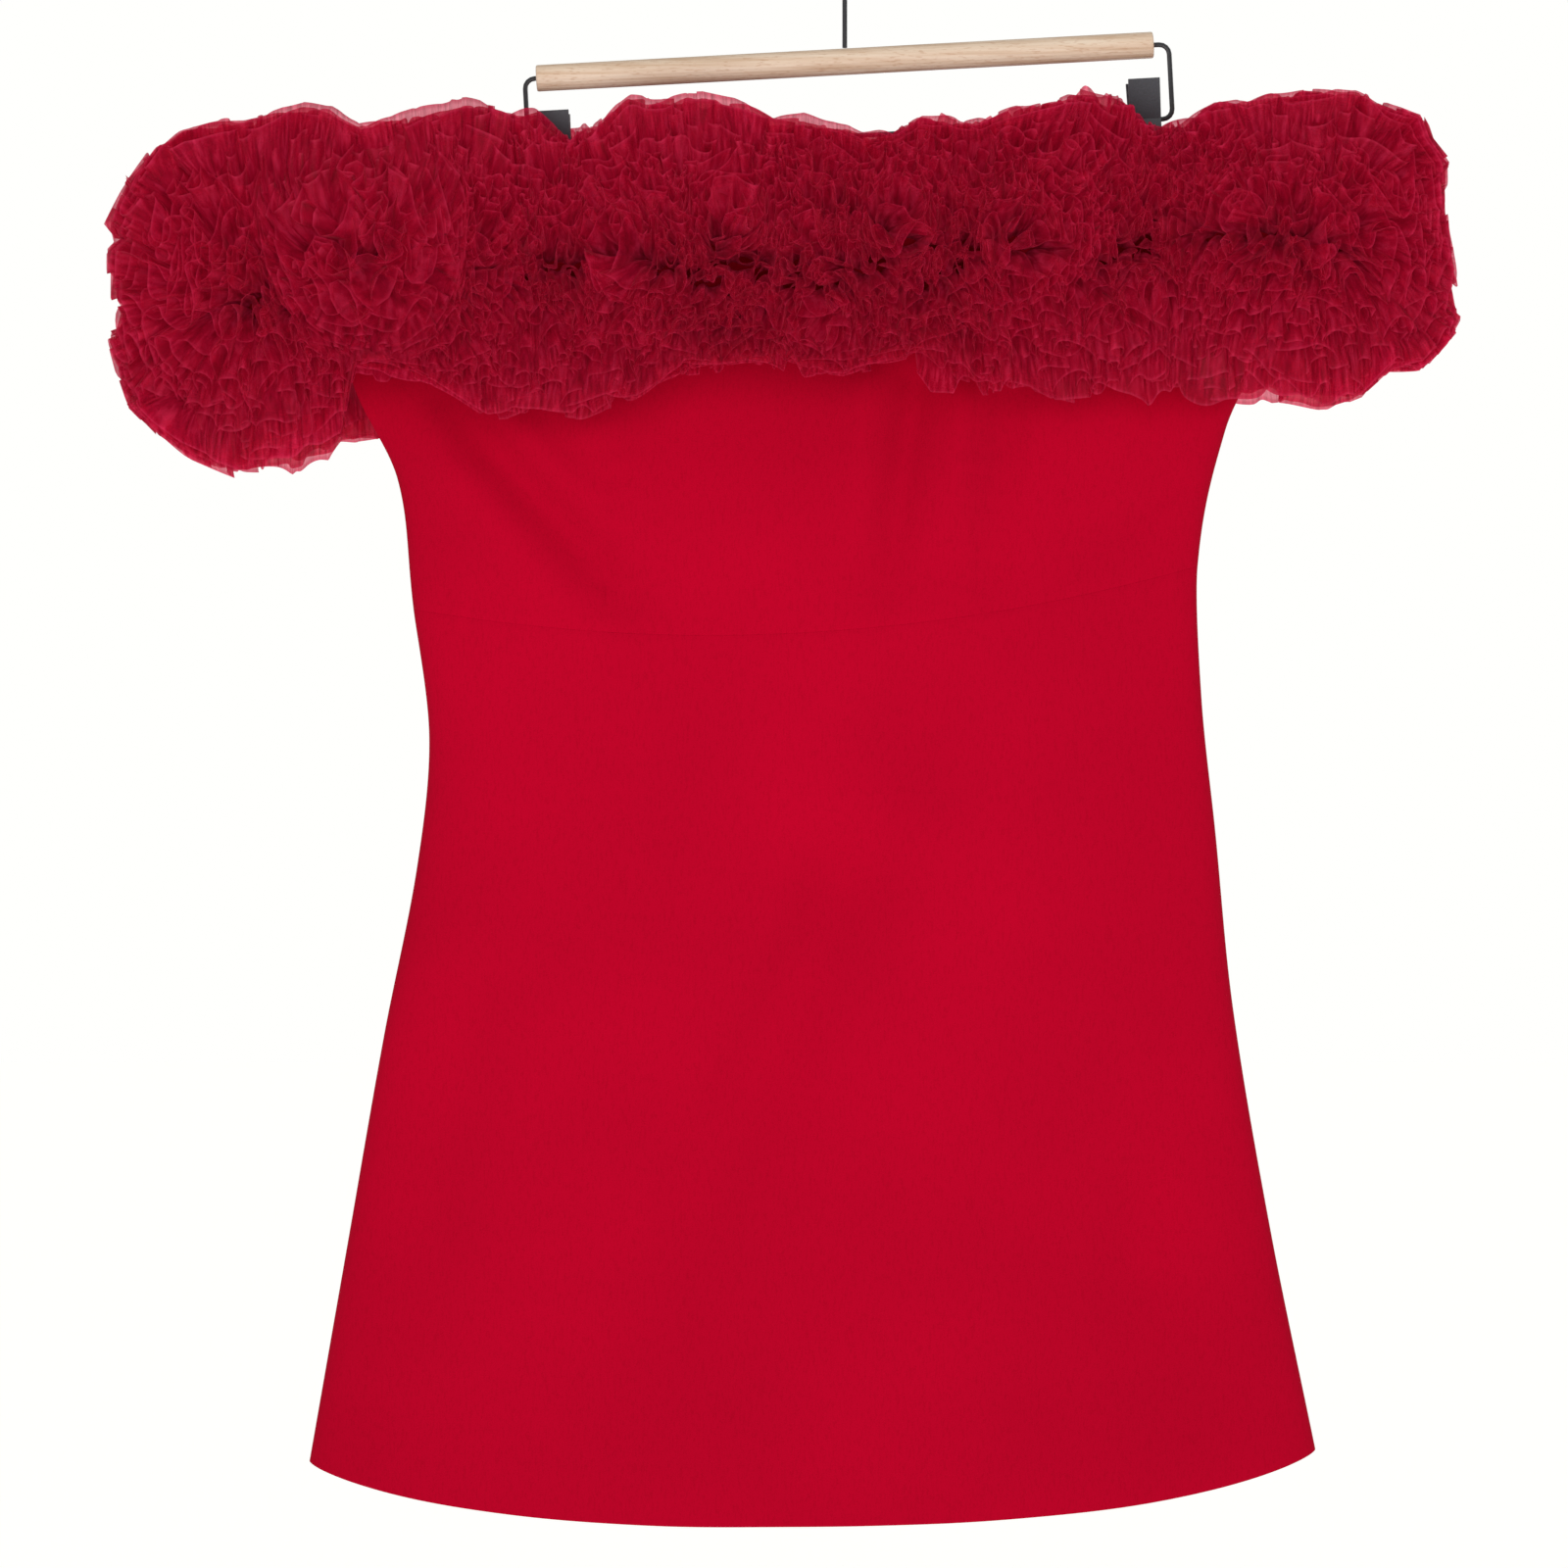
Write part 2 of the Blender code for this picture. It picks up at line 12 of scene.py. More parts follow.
import bmesh
import bpy
import numpy as np
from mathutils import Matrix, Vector


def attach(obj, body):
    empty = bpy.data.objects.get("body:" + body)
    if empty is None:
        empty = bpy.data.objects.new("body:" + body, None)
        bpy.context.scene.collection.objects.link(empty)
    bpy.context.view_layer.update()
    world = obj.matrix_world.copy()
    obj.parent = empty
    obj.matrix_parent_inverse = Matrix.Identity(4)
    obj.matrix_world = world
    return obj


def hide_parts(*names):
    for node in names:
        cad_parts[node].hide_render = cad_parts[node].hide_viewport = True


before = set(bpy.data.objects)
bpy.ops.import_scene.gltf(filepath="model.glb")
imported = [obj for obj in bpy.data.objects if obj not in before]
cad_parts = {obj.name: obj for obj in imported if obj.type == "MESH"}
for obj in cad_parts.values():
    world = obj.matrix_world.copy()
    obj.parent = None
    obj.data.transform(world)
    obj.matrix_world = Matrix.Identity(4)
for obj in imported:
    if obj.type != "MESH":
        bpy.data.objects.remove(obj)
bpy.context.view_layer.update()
MM = 0.001
FRONT, BACK = -1, 1
LEFT, RIGHT = -1, 1
print("CAD nodes:", len(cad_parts))

# %% [markdown]
# The photograph was taken straight from the front with a long lens, so the camera stands well
# back. At 2.6 m the picture's 0.8 m wide field just takes in the dress, and the arc of the hook
# is above its upper edge. Light is soft and comes from all round, as in a white studio. One
# softbox stands close in front of the bodice, so that the dress grows a little darker towards its
# sides and its hem, and another lights the back. The floor lies well below the hem.

# %% Camera, light and floor
VIEW_CENTRE = Vector((-0.031, 0, -0.4535))
VIEW_DISTANCE = 2.6
VIEW_WIDTH = 0.8
SENSOR_WIDTH = 36
STUDIO_LIGHT, STUDIO_SEEN = 0.62, 1.0
FLOOR_HEIGHT = -1.25


def linear(colour):
    """An sRGB hex colour as Blender's linear RGBA."""
    parts = [int(colour[i : i + 2], 16) / 255 for i in (0, 2, 4)]
    return [p / 12.92 if p <= 0.04045 else ((p + 0.055) / 1.055) ** 2.4 for p in parts] + [1]


def add_object(name, data):
    obj = bpy.data.objects.new(name, data)
    bpy.context.scene.collection.objects.link(obj)
    return obj


def add_softbox(name, place, aim, size, power):
    lamp = bpy.data.lights.new(name, "AREA")
    lamp.shape = "DISK"
    lamp.size = size
    lamp.energy = power
    obj = add_object(name, lamp)
    obj.location = place
    obj.rotation_euler = (aim - Vector(place)).to_track_quat("-Z", "Y").to_euler()


camera = add_object("camera", bpy.data.cameras.new("camera"))
camera.data.sensor_width = SENSOR_WIDTH
camera.data.lens = SENSOR_WIDTH * VIEW_DISTANCE / VIEW_WIDTH
camera.location = VIEW_CENTRE - Vector((0, VIEW_DISTANCE, 0))
camera.rotation_euler = (math.radians(90), 0, 0)
bpy.context.scene.camera = camera

world = bpy.data.worlds.new("white studio")
world.use_nodes = True
backdrop = world.node_tree.nodes["Background"]
backdrop.inputs["Color"].default_value = linear("FFFFFD")
seen = world.node_tree.nodes.new("ShaderNodeLightPath")
strength = world.node_tree.nodes.new("ShaderNodeMapRange")
strength.inputs["To Min"].default_value = STUDIO_LIGHT
strength.inputs["To Max"].default_value = STUDIO_SEEN
world.node_tree.links.new(strength.inputs["Value"], seen.outputs["Is Camera Ray"])
world.node_tree.links.new(backdrop.inputs["Strength"], strength.outputs["Result"])
bpy.context.scene.world = world
bpy.context.scene.view_settings.view_transform = "Standard"
add_softbox("key softbox", (-0.05, -1.1, -0.27), Vector((-0.03, 0, -0.33)), 0.8, 9.7)
add_softbox("back softbox", (0.5, 1.45, -0.22), VIEW_CENTRE, 0.9, 17)

floor_mesh = bmesh.new()
bmesh.ops.create_grid(floor_mesh, x_segments=1, y_segments=1, size=12)
floor_data = bpy.data.meshes.new("floor")
floor_mesh.to_mesh(floor_data)
floor_mesh.free()
floor = add_object("floor", floor_data)
floor.location.z = FLOOR_HEIGHT
print("camera lens", round(camera.data.lens, 1), "mm")

# %% [markdown]
# Every finish is made from nodes. One helper adds a node with its settings and links, so that a
# material reads as a list of what feeds what.


# %% Material helpers
def new_material(name):
    material = bpy.data.materials.new(name)
    material.use_nodes = True
    return material, material.node_tree.nodes["Principled BSDF"]


def add_node(material, kind, settings=None, links=None):
    """A node with its settings by name (a property or an input) and its links by input."""
    tree = material.node_tree
    node = tree.nodes.new("ShaderNode" + kind)
    for key, value in (settings or {}).items():
        if hasattr(node, key) and key not in node.inputs:
            setattr(node, key, value)
        else:
            node.inputs[key].default_value = value
    for key, socket in (links or {}).items():
        tree.links.new(node.inputs[key], socket)
    return node


def colour_ramp(material, socket, stops):
    """A ramp of sRGB colours or grey values over a socket's value."""
    ramp = add_node(material, "ValToRGB", links={"Fac": socket})
    elements = ramp.color_ramp.elements
    while len(elements) < len(stops):
        elements.new(0.5)
    for element, (place, colour) in zip(elements, stops):
        element.position = place
        element.color = linear(colour) if isinstance(colour, str) else [colour] * 3 + [1]
    return ramp.outputs["Color"]


def wire_up(material, node, socket, value):
    material.node_tree.links.new(node.inputs[socket], value)


# %% [markdown]
# The crepe is a heavy viscose or polyester crepe. Hard-twisted yarns give it a fine pebbled
# face with hardly any shine. The real pebbles are about 0.3 mm apart, too fine for a picture of
# the whole dress, so they are drawn 0.7 mm apart, over a very faint up-and-down grain. The dye
# is a clear warm red that looks a touch cooler where the cloth turns away.


# %% Crepe
def make_crepe():
    material, shader = new_material("red matte crepe")
    place = add_node(material, "TexCoord").outputs["Object"]
    pebbles = add_node(
        material, "TexNoise", {"Scale": 1 / (0.7 * MM), "Detail": 3.0}, {"Vector": place}
    )
    grain_scale = add_node(material, "Mapping", {"Scale": (900, 900, 220)}, {"Vector": place})
    grain = add_node(
        material, "TexNoise", {"Scale": 1.0, "Detail": 2.0}, {"Vector": grain_scale.outputs[0]}
    )
    cloudy = add_node(material, "TexNoise", {"Scale": 9.0, "Detail": 2.0}, {"Vector": place})
    both = add_node(
        material, "Math", {"operation": "ADD"}, {0: pebbles.outputs["Fac"], 1: grain.outputs["Fac"]}
    )
    fine = colour_ramp(material, both.outputs[0], [(0.75, "97001C"), (1.25, "9F001F")])
    broad = colour_ramp(material, cloudy.outputs["Fac"], [(0.35, 0.94), (0.65, 1.0)])
    colour = add_node(
        material,
        "MixRGB",
        {"blend_type": "MULTIPLY", "Fac": 1.0},
        {"Color1": fine, "Color2": broad},
    )
    bump = add_node(
        material,
        "Bump",
        {"Strength": 0.35, "Distance": 0.25 * MM},
        {"Height": both.outputs[0]},
    )
    wire_up(material, shader, "Base Color", colour.outputs[0])
    wire_up(material, shader, "Normal", bump.outputs[0])
    shader.inputs["Roughness"].default_value = 0.95
    shader.inputs["Specular IOR Level"].default_value = 0.04
    shader.inputs["Sheen Weight"].default_value = 0.03
    shader.inputs["Sheen Roughness"].default_value = 0.5
    shader.inputs["Sheen Tint"].default_value = linear("FF3A58")
    return material


crepe = make_crepe()
print("made", crepe.name)

# %% [markdown]
# The organza is thin, crisp and see-through. One layer over white looks pale pink, many layers
# together a deep crimson. Its free edges are cut, so each shows as a fine pale line, and
# the gathers run as fine rays from the sewn edge outwards. The rays are drawn in the red with
# painted shade in the gathers' troughs and painted light on their crests, and the colour is
# darkened towards the sewn edge as painted shade under the other layers. The pattern follows the
# strip: its UV map holds three times the distance along the strip, and the share of its width, 0
# at the sewn edge. Light that dozens of thin layers pass on to each other is more than the
# renderer follows, so the cloth gives off a little light of its own colour, least at the sewn
# edge.


# %% Organza
def make_organza():
    material, shader = new_material("crimson silk organza")
    uv = add_node(material, "TexCoord").outputs["UV"]
    across = add_node(material, "SeparateXYZ", links={"Vector": uv}).outputs["Y"]
    # The gathers' rays are 1.4 mm apart and run across the strip.
    rays_scale = add_node(material, "Mapping", {"Scale": (1 / (4.2 * MM), 3, 1)}, {"Vector": uv})
    rays = add_node(
        material,
        "TexNoise",
        {"Scale": 1.0, "Detail": 3.0, "Roughness": 0.6},
        {"Vector": rays_scale.outputs[0]},
    )
    # The rays' colour follows the bump's height: the organza's red, with painted shade in the
    # gathers' troughs and painted light on their crests.
    gather_red_and_shade = colour_ramp(
        material, rays.outputs["Fac"], [(0.3, "6E031A"), (0.5, "980A2E"), (0.7, "C42850")]
    )
    edge_share = colour_ramp(material, across, [(0.0, 0.0), (0.975, 0.0), (0.99, 0.22)])
    colour = add_node(
        material,
        "MixRGB",
        {"Color2": linear("D8466A")},
        {"Fac": edge_share, "Color1": gather_red_and_shade},
    )
    # Painted shade: the colour is darkened towards the sewn edge, which lies under the other
    # layers.
    depth = colour_ramp(material, across, [(0.0, 0.9), (0.5, 1.0)])
    shaded = add_node(
        material,
        "MixRGB",
        {"blend_type": "MULTIPLY", "Fac": 1.0},
        {"Color1": colour.outputs[0], "Color2": depth},
    )
    bump = add_node(
        material,
        "Bump",
        {"Strength": 0.9, "Distance": 0.8 * MM},
        {"Height": rays.outputs["Fac"]},
    )
    wire_up(material, shader, "Base Color", shaded.outputs[0])
    wire_up(material, shader, "Normal", bump.outputs[0])
    glow_depth = colour_ramp(material, across, [(0.1, 0.35), (0.6, 0.85), (0.9, 1.0)])
    passed_on = add_node(
        material,
        "MixRGB",
        {"blend_type": "MULTIPLY", "Fac": 1.0},
        {"Color1": gather_red_and_shade, "Color2": glow_depth},
    )
    wire_up(material, shader, "Emission Color", passed_on.outputs[0])
    shader.inputs["Emission Strength"].default_value = 0.85
    shader.inputs["Roughness"].default_value = 0.55
    shader.inputs["Specular IOR Level"].default_value = 0.15
    shader.inputs["Sheen Weight"].default_value = 0.15
    shader.inputs["Sheen Roughness"].default_value = 0.35
    shader.inputs["Sheen Tint"].default_value = linear("FF7A94")
    glow = add_node(
        material,
        "BsdfTranslucent",
        links={"Color": shaded.outputs[0], "Normal": bump.outputs[0]},
    )
    cloth = add_node(
        material,
        "MixShader",
        {"Fac": 0.6},
        {1: shader.outputs["BSDF"], 2: glow.outputs[0]},
    )
    clear = add_node(material, "BsdfTransparent", {"Color": linear("FFB0BE")})
    # The sewn edge lies under other layers and lets little through, and the rays are uneven.
    open_share = colour_ramp(
        material, across, [(0.2, 0.1), (0.6, 0.35), (0.95, 0.55), (0.985, 0.3)]
    )
    ray_share = colour_ramp(material, rays.outputs["Fac"], [(0.3, 0.5), (0.65, 1.0)])
    see = add_node(material, "Math", {"operation": "MULTIPLY"}, {0: open_share, 1: ray_share})
    sheer = add_node(
        material,
        "MixShader",
        links={"Fac": see.outputs[0], 1: cloth.outputs[0], 2: clear.outputs[0]},
    )
    wire_up(material, material.node_tree.nodes["Material Output"], "Surface", sheer.outputs[0])
    return material


organza = make_organza()
print("made", organza.name)

# %% [markdown]
# The rod is bare beech, turned and sanded: pale, slightly pink, with a fine straight grain along
# the rod and short dark flecks 1 to 3 mm long, which are its rays. The wire and hook are powder
# coated steel, the clips moulded black plastic with a fine spark-eroded grain. The zip's tape is
# knitted polyester, and its slider is painted to match.


# %% Wood, wire, plastic, tape and floor
def make_beech():
    material, shader = new_material("sanded beech")
    place = add_node(material, "TexCoord").outputs["Object"]
    grain_scale = add_node(material, "Mapping", {"Scale": (14, 420, 420)}, {"Vector": place})
    grain = add_node(
        material, "TexNoise", {"Scale": 1.0, "Detail": 5.0}, {"Vector": grain_scale.outputs[0]}
    )
    fleck_scale = add_node(material, "Mapping", {"Scale": (220, 1300, 1300)}, {"Vector": place})
    flecks = add_node(
        material, "TexNoise", {"Scale": 1.0, "Detail": 1.0}, {"Vector": fleck_scale.outputs[0]}
    )
    grain_colour = colour_ramp(
        material, grain.outputs["Fac"], [(0.3, "B89A7E"), (0.5, "C9B199"), (0.7, "D2BFAA")]
    )
    fleck_share = colour_ramp(material, flecks.outputs["Fac"], [(0.3, 0.45), (0.42, 0.0)])
    colour = add_node(
        material,
        "MixRGB",
        {"Color2": linear("A67C5C")},
        {"Fac": fleck_share, "Color1": grain_colour},
    )
    bump = add_node(
        material, "Bump", {"Strength": 0.3, "Distance": 0.15 * MM}, {"Height": grain.outputs["Fac"]}
    )
    wire_up(material, shader, "Base Color", colour.outputs[0])
    wire_up(material, shader, "Normal", bump.outputs[0])
    shader.inputs["Roughness"].default_value = 0.6
    return material


def make_grained(name, low, high, roughness, grain_mm, strength, metallic=0.0):
    """A plain finish with a fine even grain in its colour and its surface."""
    material, shader = new_material(name)
    place = add_node(material, "TexCoord").outputs["Object"]
    grain = add_node(
        material, "TexNoise", {"Scale": 1 / (grain_mm * MM), "Detail": 3.0}, {"Vector": place}
    )
    colour = colour_ramp(material, grain.outputs["Fac"], [(0.35, low), (0.65, high)])
    bump = add_node(
        material,
        "Bump",
        {"Strength": strength, "Distance": 0.2 * MM},
        {"Height": grain.outputs["Fac"]},
    )
    wire_up(material, shader, "Base Color", colour)
    wire_up(material, shader, "Normal", bump.outputs[0])
    shader.inputs["Roughness"].default_value = roughness
    shader.inputs["Metallic"].default_value = metallic
    return material


beech = make_beech()
coated_wire = make_grained("black powder coated steel", "17171A", "222226", 0.42, 0.6, 0.25)
plastic = make_grained("moulded black plastic", "14161E", "1E212B", 0.5, 0.8, 0.3)
zip_tape = make_grained("knitted zip tape", "8E0420", "A80A2C", 0.8, 1.0, 0.5)
slider_paint = make_grained("red painted slider", "A00624", "AE0828", 0.35, 1.2, 0.1)
floor_paint = make_grained("white floor paint", "FBFBF9", "FFFFFD", 0.9, 8.0, 0.05)
floor_shader = floor_paint.node_tree.nodes["Principled BSDF"]
floor_shader.inputs["Emission Color"].default_value = linear("FFFFFD")
floor_shader.inputs["Emission Strength"].default_value = 0.4
floor.data.materials.append(floor_paint)

RIGID_FINISHES = {
    "hanger_rod": beech,
    "wire_frame": coated_wire,
    "hook": coated_wire,
    "clip_left_front_jaw": plastic,
    "clip_left_back_jaw": plastic,
    "clip_right_front_jaw": plastic,
    "clip_right_back_jaw": plastic,
    "zip": zip_tape,
    "zip_slider": slider_paint,
}
for node, material in RIGID_FINISHES.items():
    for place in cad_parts[node].material_slots:
        place.material = material
print("finished", len(RIGID_FINISHES), "rigid nodes")

# %% [markdown]
# The dress's form is a set of named rows from its top edge to its hem, the same table that the
# CAD uses. A smooth curve through each column gives the form at any height, worked out for many
# points at once with numpy.

# %% The form of the dress, in millimetres
CREPE_WALL = 1.0 * MM
CAD_WALL = 1.5 * MM
SEAM = 0.02 * MM
SEWN_GAP = 0.01 * MM
# A row's down is 0 at the top edge, 1 at the waist and 2 at the hem. Its middle hangs dip below
# its ends, and its cloth lies depth in front of or behind the middle plane, or gap at its ends.
Row = namedtuple("Row", "down left_x left_z right_x right_z dip depth gap")
ROWS = (
    Row(0.00, -254, -149.5, 214, -124.0, 0, 15, 11),
    Row(0.40, -252, -242.5, 216, -217.5, 8, 20, 11),
    Row(0.68, -228, -298.5, 194, -273.5, 15, 24, 0),
    Row(1.00, -220, -364.5, 180, -342.5, 23.5, 26, 0),
    Row(1.15, -212, -429.5, 182, -410.0, 26, 27, 0),
    Row(1.30, -218, -494.5, 189, -477.5, 28, 27.5, 0),
    Row(1.50, -235, -581.5, 198, -567.5, 30, 28, 0),
    Row(1.75, -254, -690.0, 217, -680.0, 31.5, 29.5, 0),
    Row(2.00, -273, -798.5, 240, -792.5, 32.5, 31, 0),
)
WAIST, HEM, BAND_FOOT, UNDERARM, ZIP_END = 1.0, 2.0, 0.40, 0.68, 1.32
BODICE_LENGTH, SKIRT_LENGTH = 217 * MM, 440 * MM
TUBE_SWELL, BAND_SWELL = 0.8, 2.0
WAIST_BOW, HEM_BOW = (2.0, 1.0), (2.6, 0.8)
PRINCESS_SEAMS_X = (-121, 66)
CLIPS_X = (-149.5, 151)
PINCH_FLAT, PINCH_END, PINCH_FLAT_DOWN, PINCH_END_DOWN = 25, 62, 0.12, 0.46
Sleeve = namedtuple("Sleeve", "hand fold_x top_z foot_z flat")
SLEEVES = {
    LEFT: Sleeve("left", -322, -152, -266, (0.17, 0.125)),
    RIGHT: Sleeve("right", 270, -129, -228, (0.15, 0.115)),
}


def mix(a, b, share):
    return a + (b - a) * share


def ease(share):
    """0 to 1 with a soft start and end."""
    share = np.clip(share, 0, 1)
    return share * share * (3 - 2 * share)


def smooth(rows, column, at):
    """A smooth curve through a table's column, along the table's first column."""
    places = np.array([row[0] for row in rows], float)
    values = np.array([getattr(row, column) for row in rows], float)
    at = np.clip(np.asarray(at, float), places[0], places[-1])
    i = np.clip(np.searchsorted(places, at, side="right") - 1, 0, len(rows) - 2)
    before = np.maximum(np.arange(len(rows)) - 1, 0)
    after = np.minimum(np.arange(len(rows)) + 1, len(rows) - 1)
    slopes = (values[after] - values[before]) / (places[after] - places[before])
    span = places[i + 1] - places[i]
    t = (at - places[i]) / span
    return (
        (2 * t**3 - 3 * t**2 + 1) * values[i]
        + (t**3 - 2 * t**2 + t) * slopes[i] * span
        + (3 * t**2 - 2 * t**3) * values[i + 1]
        + (t**3 - t**2) * slopes[i + 1] * span
    )


RIPPLE_WAVES, RIPPLE_PEAK = 7, 3.2


def ripple(seed, scale, *axes):
    """A soft uneven field from about -1 to 1, whose hills are scale apart, the same each run."""
    chance = np.random.default_rng(seed)
    total = 0
    for _ in range(RIPPLE_WAVES):
        turn = chance.normal(size=len(axes))
        turn *= 2 * math.pi / scale * (0.55 + 0.9 * chance.random()) / np.linalg.norm(turn)
        phase = chance.random() * 2 * math.pi
        total = total + np.sin(sum(a * w for a, w in zip(axes, turn)) + phase)
    return total / RIPPLE_PEAK


print("rows of the form:", len(ROWS))

# %% [markdown]
# Crepe hangs in broad soft folds. Two come down from the left underarm to the princess seam, two
# small ones lie under the ruffles at the right, and a long one crosses the skirt from the right
# of its waist to its left hem. Each is a line with a width and a rise. Between them the cloth
# waves a little, unevenly. The back has folds of its own, guessed from how such a dress hangs.

# %% Folds of the crepe
Fold = namedtuple("Fold", "x0 z0 x1 z1 width rise")
FRONT_FOLDS = (
    Fold(-203, -258, -111, -358, 12, -5.5),
    Fold(-231, -262, -135, -372, 15, 3.5),
    Fold(-172, -250, -122, -300, 8, -1.8),
    Fold(36, -252, 21, -354, 10, -3.2),
    Fold(10, -250, 4, -330, 10, 1.6),
    Fold(84, -258, 74, -354, 10, -2.4),
    Fold(60, -255, 52, -330, 8, 1.2),
    Fold(39, -404, -1, -504, 24, -3.2),
    Fold(-1, -504, -106, -728, 28, -4.2),
    Fold(-35, -520, -128, -716, 16, 1.4),
    Fold(154, -668, 144, -744, 20, -3.2),
    Fold(-190, -560, -215, -720, 22, -2.7),
    Fold(168, -300, 120, -340, 9, -1.2),
    Fold(-196, -372, -150, -440, 20, -1.2),
    Fold(160, -380, 128, -470, 20, -1.2),
)
BACK_FOLDS = (
    Fold(-150, -265, -95, -350, 14, -4.5),
    Fold(-175, -262, -118, -352, 12, 2.0),
    Fold(140, -262, 95, -345, 14, -4.5),
    Fold(60, -258, 48, -330, 10, -2.0),
    Fold(70, -420, 120, -640, 26, -4.2),
    Fold(-80, -430, -130, -600, 24, -3.2),
    Fold(-150, -640, -165, -760, 22, -3.2),
    Fold(10, -560, 22, -760, 22, 2.0),
)
FOLD_STRENGTH = 2.3
FOLD_TAPER = 0.7


def clip_pinch(x, down):
    """1 where a clip presses the cloth flat, and 0 well away from the clips."""
    away = np.minimum(*(np.abs(x / MM - clip) for clip in CLIPS_X))
    beside = ease((PINCH_END - away) / (PINCH_END - PINCH_FLAT))
    below = ease((PINCH_END_DOWN - down) / (PINCH_END_DOWN - PINCH_FLAT_DOWN))
    return beside * below


def fold_depth(folds, x, z):
    """How far the folds lift the cloth at each point, in metres, most at a fold's start."""
    total = 0.5 * MM * ripple(11, 0.09, x, z) + 0.8 * MM * ripple(12, 0.22, x, z)
    for fold in folds:
        dx, dz = (fold.x1 - fold.x0) * MM, (fold.z1 - fold.z0) * MM
        px, pz = x - fold.x0 * MM, z - fold.z0 * MM
        share = np.clip((px * dx + pz * dz) / (dx * dx + dz * dz), 0, 1)
        away = np.hypot(px - share * dx, pz - share * dz) / (fold.width * MM)
        total = total + fold.rise * MM * np.exp(-away * away) * (1 - FOLD_TAPER * share**2)
    return total


def row_edges(down):
    """Where a row ends: left x, left z, right x and right z, in metres."""
    return [smooth(ROWS, name, down) * MM for name in ("left_x", "left_z", "right_x", "right_z")]


def body(s, down, side, inset):
    """Points of the dress, s from 0 at its left side edge to 1 at its right one."""
    left_x, left_z, right_x, right_z = row_edges(down)
    depth = smooth(ROWS, "depth", down) * MM - inset
    gap = np.maximum(smooth(ROWS, "gap", down) * MM - inset, 0)
    across = -np.cos(math.pi * s)
    x = mix(left_x + inset, right_x - inset, (1 + across) / 2)
    bow = ease(down - WAIST)
    rounding, power = (mix(a, b, bow) for a, b in zip(WAIST_BOW, HEM_BOW))
    dip = smooth(ROWS, "dip", down) * MM * np.maximum(1 - np.abs(across) ** rounding, 0) ** power
    z = mix(left_z, right_z, (1 + across) / 2) - dip
    closing = ease((down - BAND_FOOT) / (UNDERARM - BAND_FOOT))
    swell = np.maximum(np.sin(math.pi * s), 0) ** mix(BAND_SWELL, TUBE_SWELL, closing)
    y = gap + (depth - gap) * swell
    y = y + FOLD_STRENGTH * fold_depth(FRONT_FOLDS if side == FRONT else BACK_FOLDS, x, z) * swell
    y = mix(y, CAD_WALL - inset, clip_pinch(x, down))
    return np.stack([x, side * (SEAM / 2 + y), z], axis=-1)


def share_at(x, down):
    """The s of body() where a row crosses x."""
    left_x, _, right_x, _ = row_edges(down)
    return np.arccos(np.clip(1 - 2 * (x - left_x) / (right_x - left_x), -1, 1)) / math.pi


def centre_back(down):
    left_x, _, right_x, _ = row_edges(down)
    return (left_x + right_x) / 2


# %% [markdown]
# Each panel is a grid laid on the form, doubled to a thin wall. Where two panels are sewn
# together the cloth rolls in and leaves a fine groove, with a slight pucker from the thread.
# The skirt's darts are the same groove, pressed less deep, and the hem is turned up 25 mm, which
# shows as a very low step. The wall's faces are turned outwards while it is still a flat slab.


# %% Cloth panels
def finish_cloth(obj, material, nodes):
    """What every piece of cloth gets: its material, its place in the frame, and its CAD nodes
    hidden.
    """
    obj.data.materials.append(material)
    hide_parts(*nodes)
    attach(obj, "root")


def area_of(obj):
    return sum(face.area for face in obj.data.polygons)


def cloth_area(wall):
    """The area of a wall's cloth: half of its faces, in square metres."""
    return round(area_of(wall) / 2, 4)


def add_wall(name, across, down, place, wall):
    """A wall of cloth on a grid. place(s, t, inset) gives the grid's points, s across and t
    down, inset from the cloth's outer face."""
    bm = bmesh.new()
    bmesh.ops.create_grid(bm, x_segments=across, y_segments=down, size=0.5)
    grown = bmesh.ops.extrude_face_region(bm, geom=list(bm.faces))["geom"]
    outer = [v for v in grown if isinstance(v, bmesh.types.BMVert)]
    bmesh.ops.translate(bm, vec=(0, 0, 1), verts=outer)
    bmesh.ops.recalc_face_normals(bm, faces=bm.faces)
    mesh = bpy.data.meshes.new(name)
    bm.to_mesh(mesh)
    flat = np.empty(len(mesh.vertices) * 3)
    mesh.vertices.foreach_get("co", flat)
    s, t, layer = flat.reshape(-1, 3).T + np.array([[0.5], [0.5], [0]])
    points = place(s, 1 - t, (1 - layer) * wall)
    mesh.vertices.foreach_set("co", np.ascontiguousarray(points).ravel())
    bm.clear()
    bm.from_mesh(mesh)
    if bm.calc_volume(signed=True) < 0:
        bmesh.ops.reverse_faces(bm, faces=bm.faces)
    bm.to_mesh(mesh)
    bm.free()
    mesh.shade_smooth()
    mesh.set_sharp_from_angle(angle=math.radians(50))
    return add_object(name, mesh)


GROOVE_WIDTH, GROOVE_DEPTH, PRINCESS_DEPTH = 1.3, 0.35, 0.16
DARTS = (((-118.5, -384), (-118.5, -505)), ((64, -376), (77.5, -495)))
DART_DEPTH, DART_FADE_START, DART_END_SHARE, DART_PUCKER = 0.3, 0.6, 0.35, 0.6
HEM_TURN, HEM_STEP, HEM_STEP_WIDTH = 25 * MM, 0.22 * MM, 2 * MM
PUCKER, PUCKER_REACH, PUCKER_LENGTH = 0.25 * MM, 9, 0.012


def groove(distance, depth=GROOVE_DEPTH):
    """How far the cloth rolls in, at a distance in metres from a seam."""
    return depth * MM * np.exp(-((distance / MM / GROOVE_WIDTH) ** 2))


def pucker(distance, along, seed):
    """Small uneven gathers that a seam's thread makes in the cloth beside it."""
    fade = np.exp(-((distance / MM / PUCKER_REACH) ** 2))
    return PUCKER * fade * ripple(seed, PUCKER_LENGTH, along)


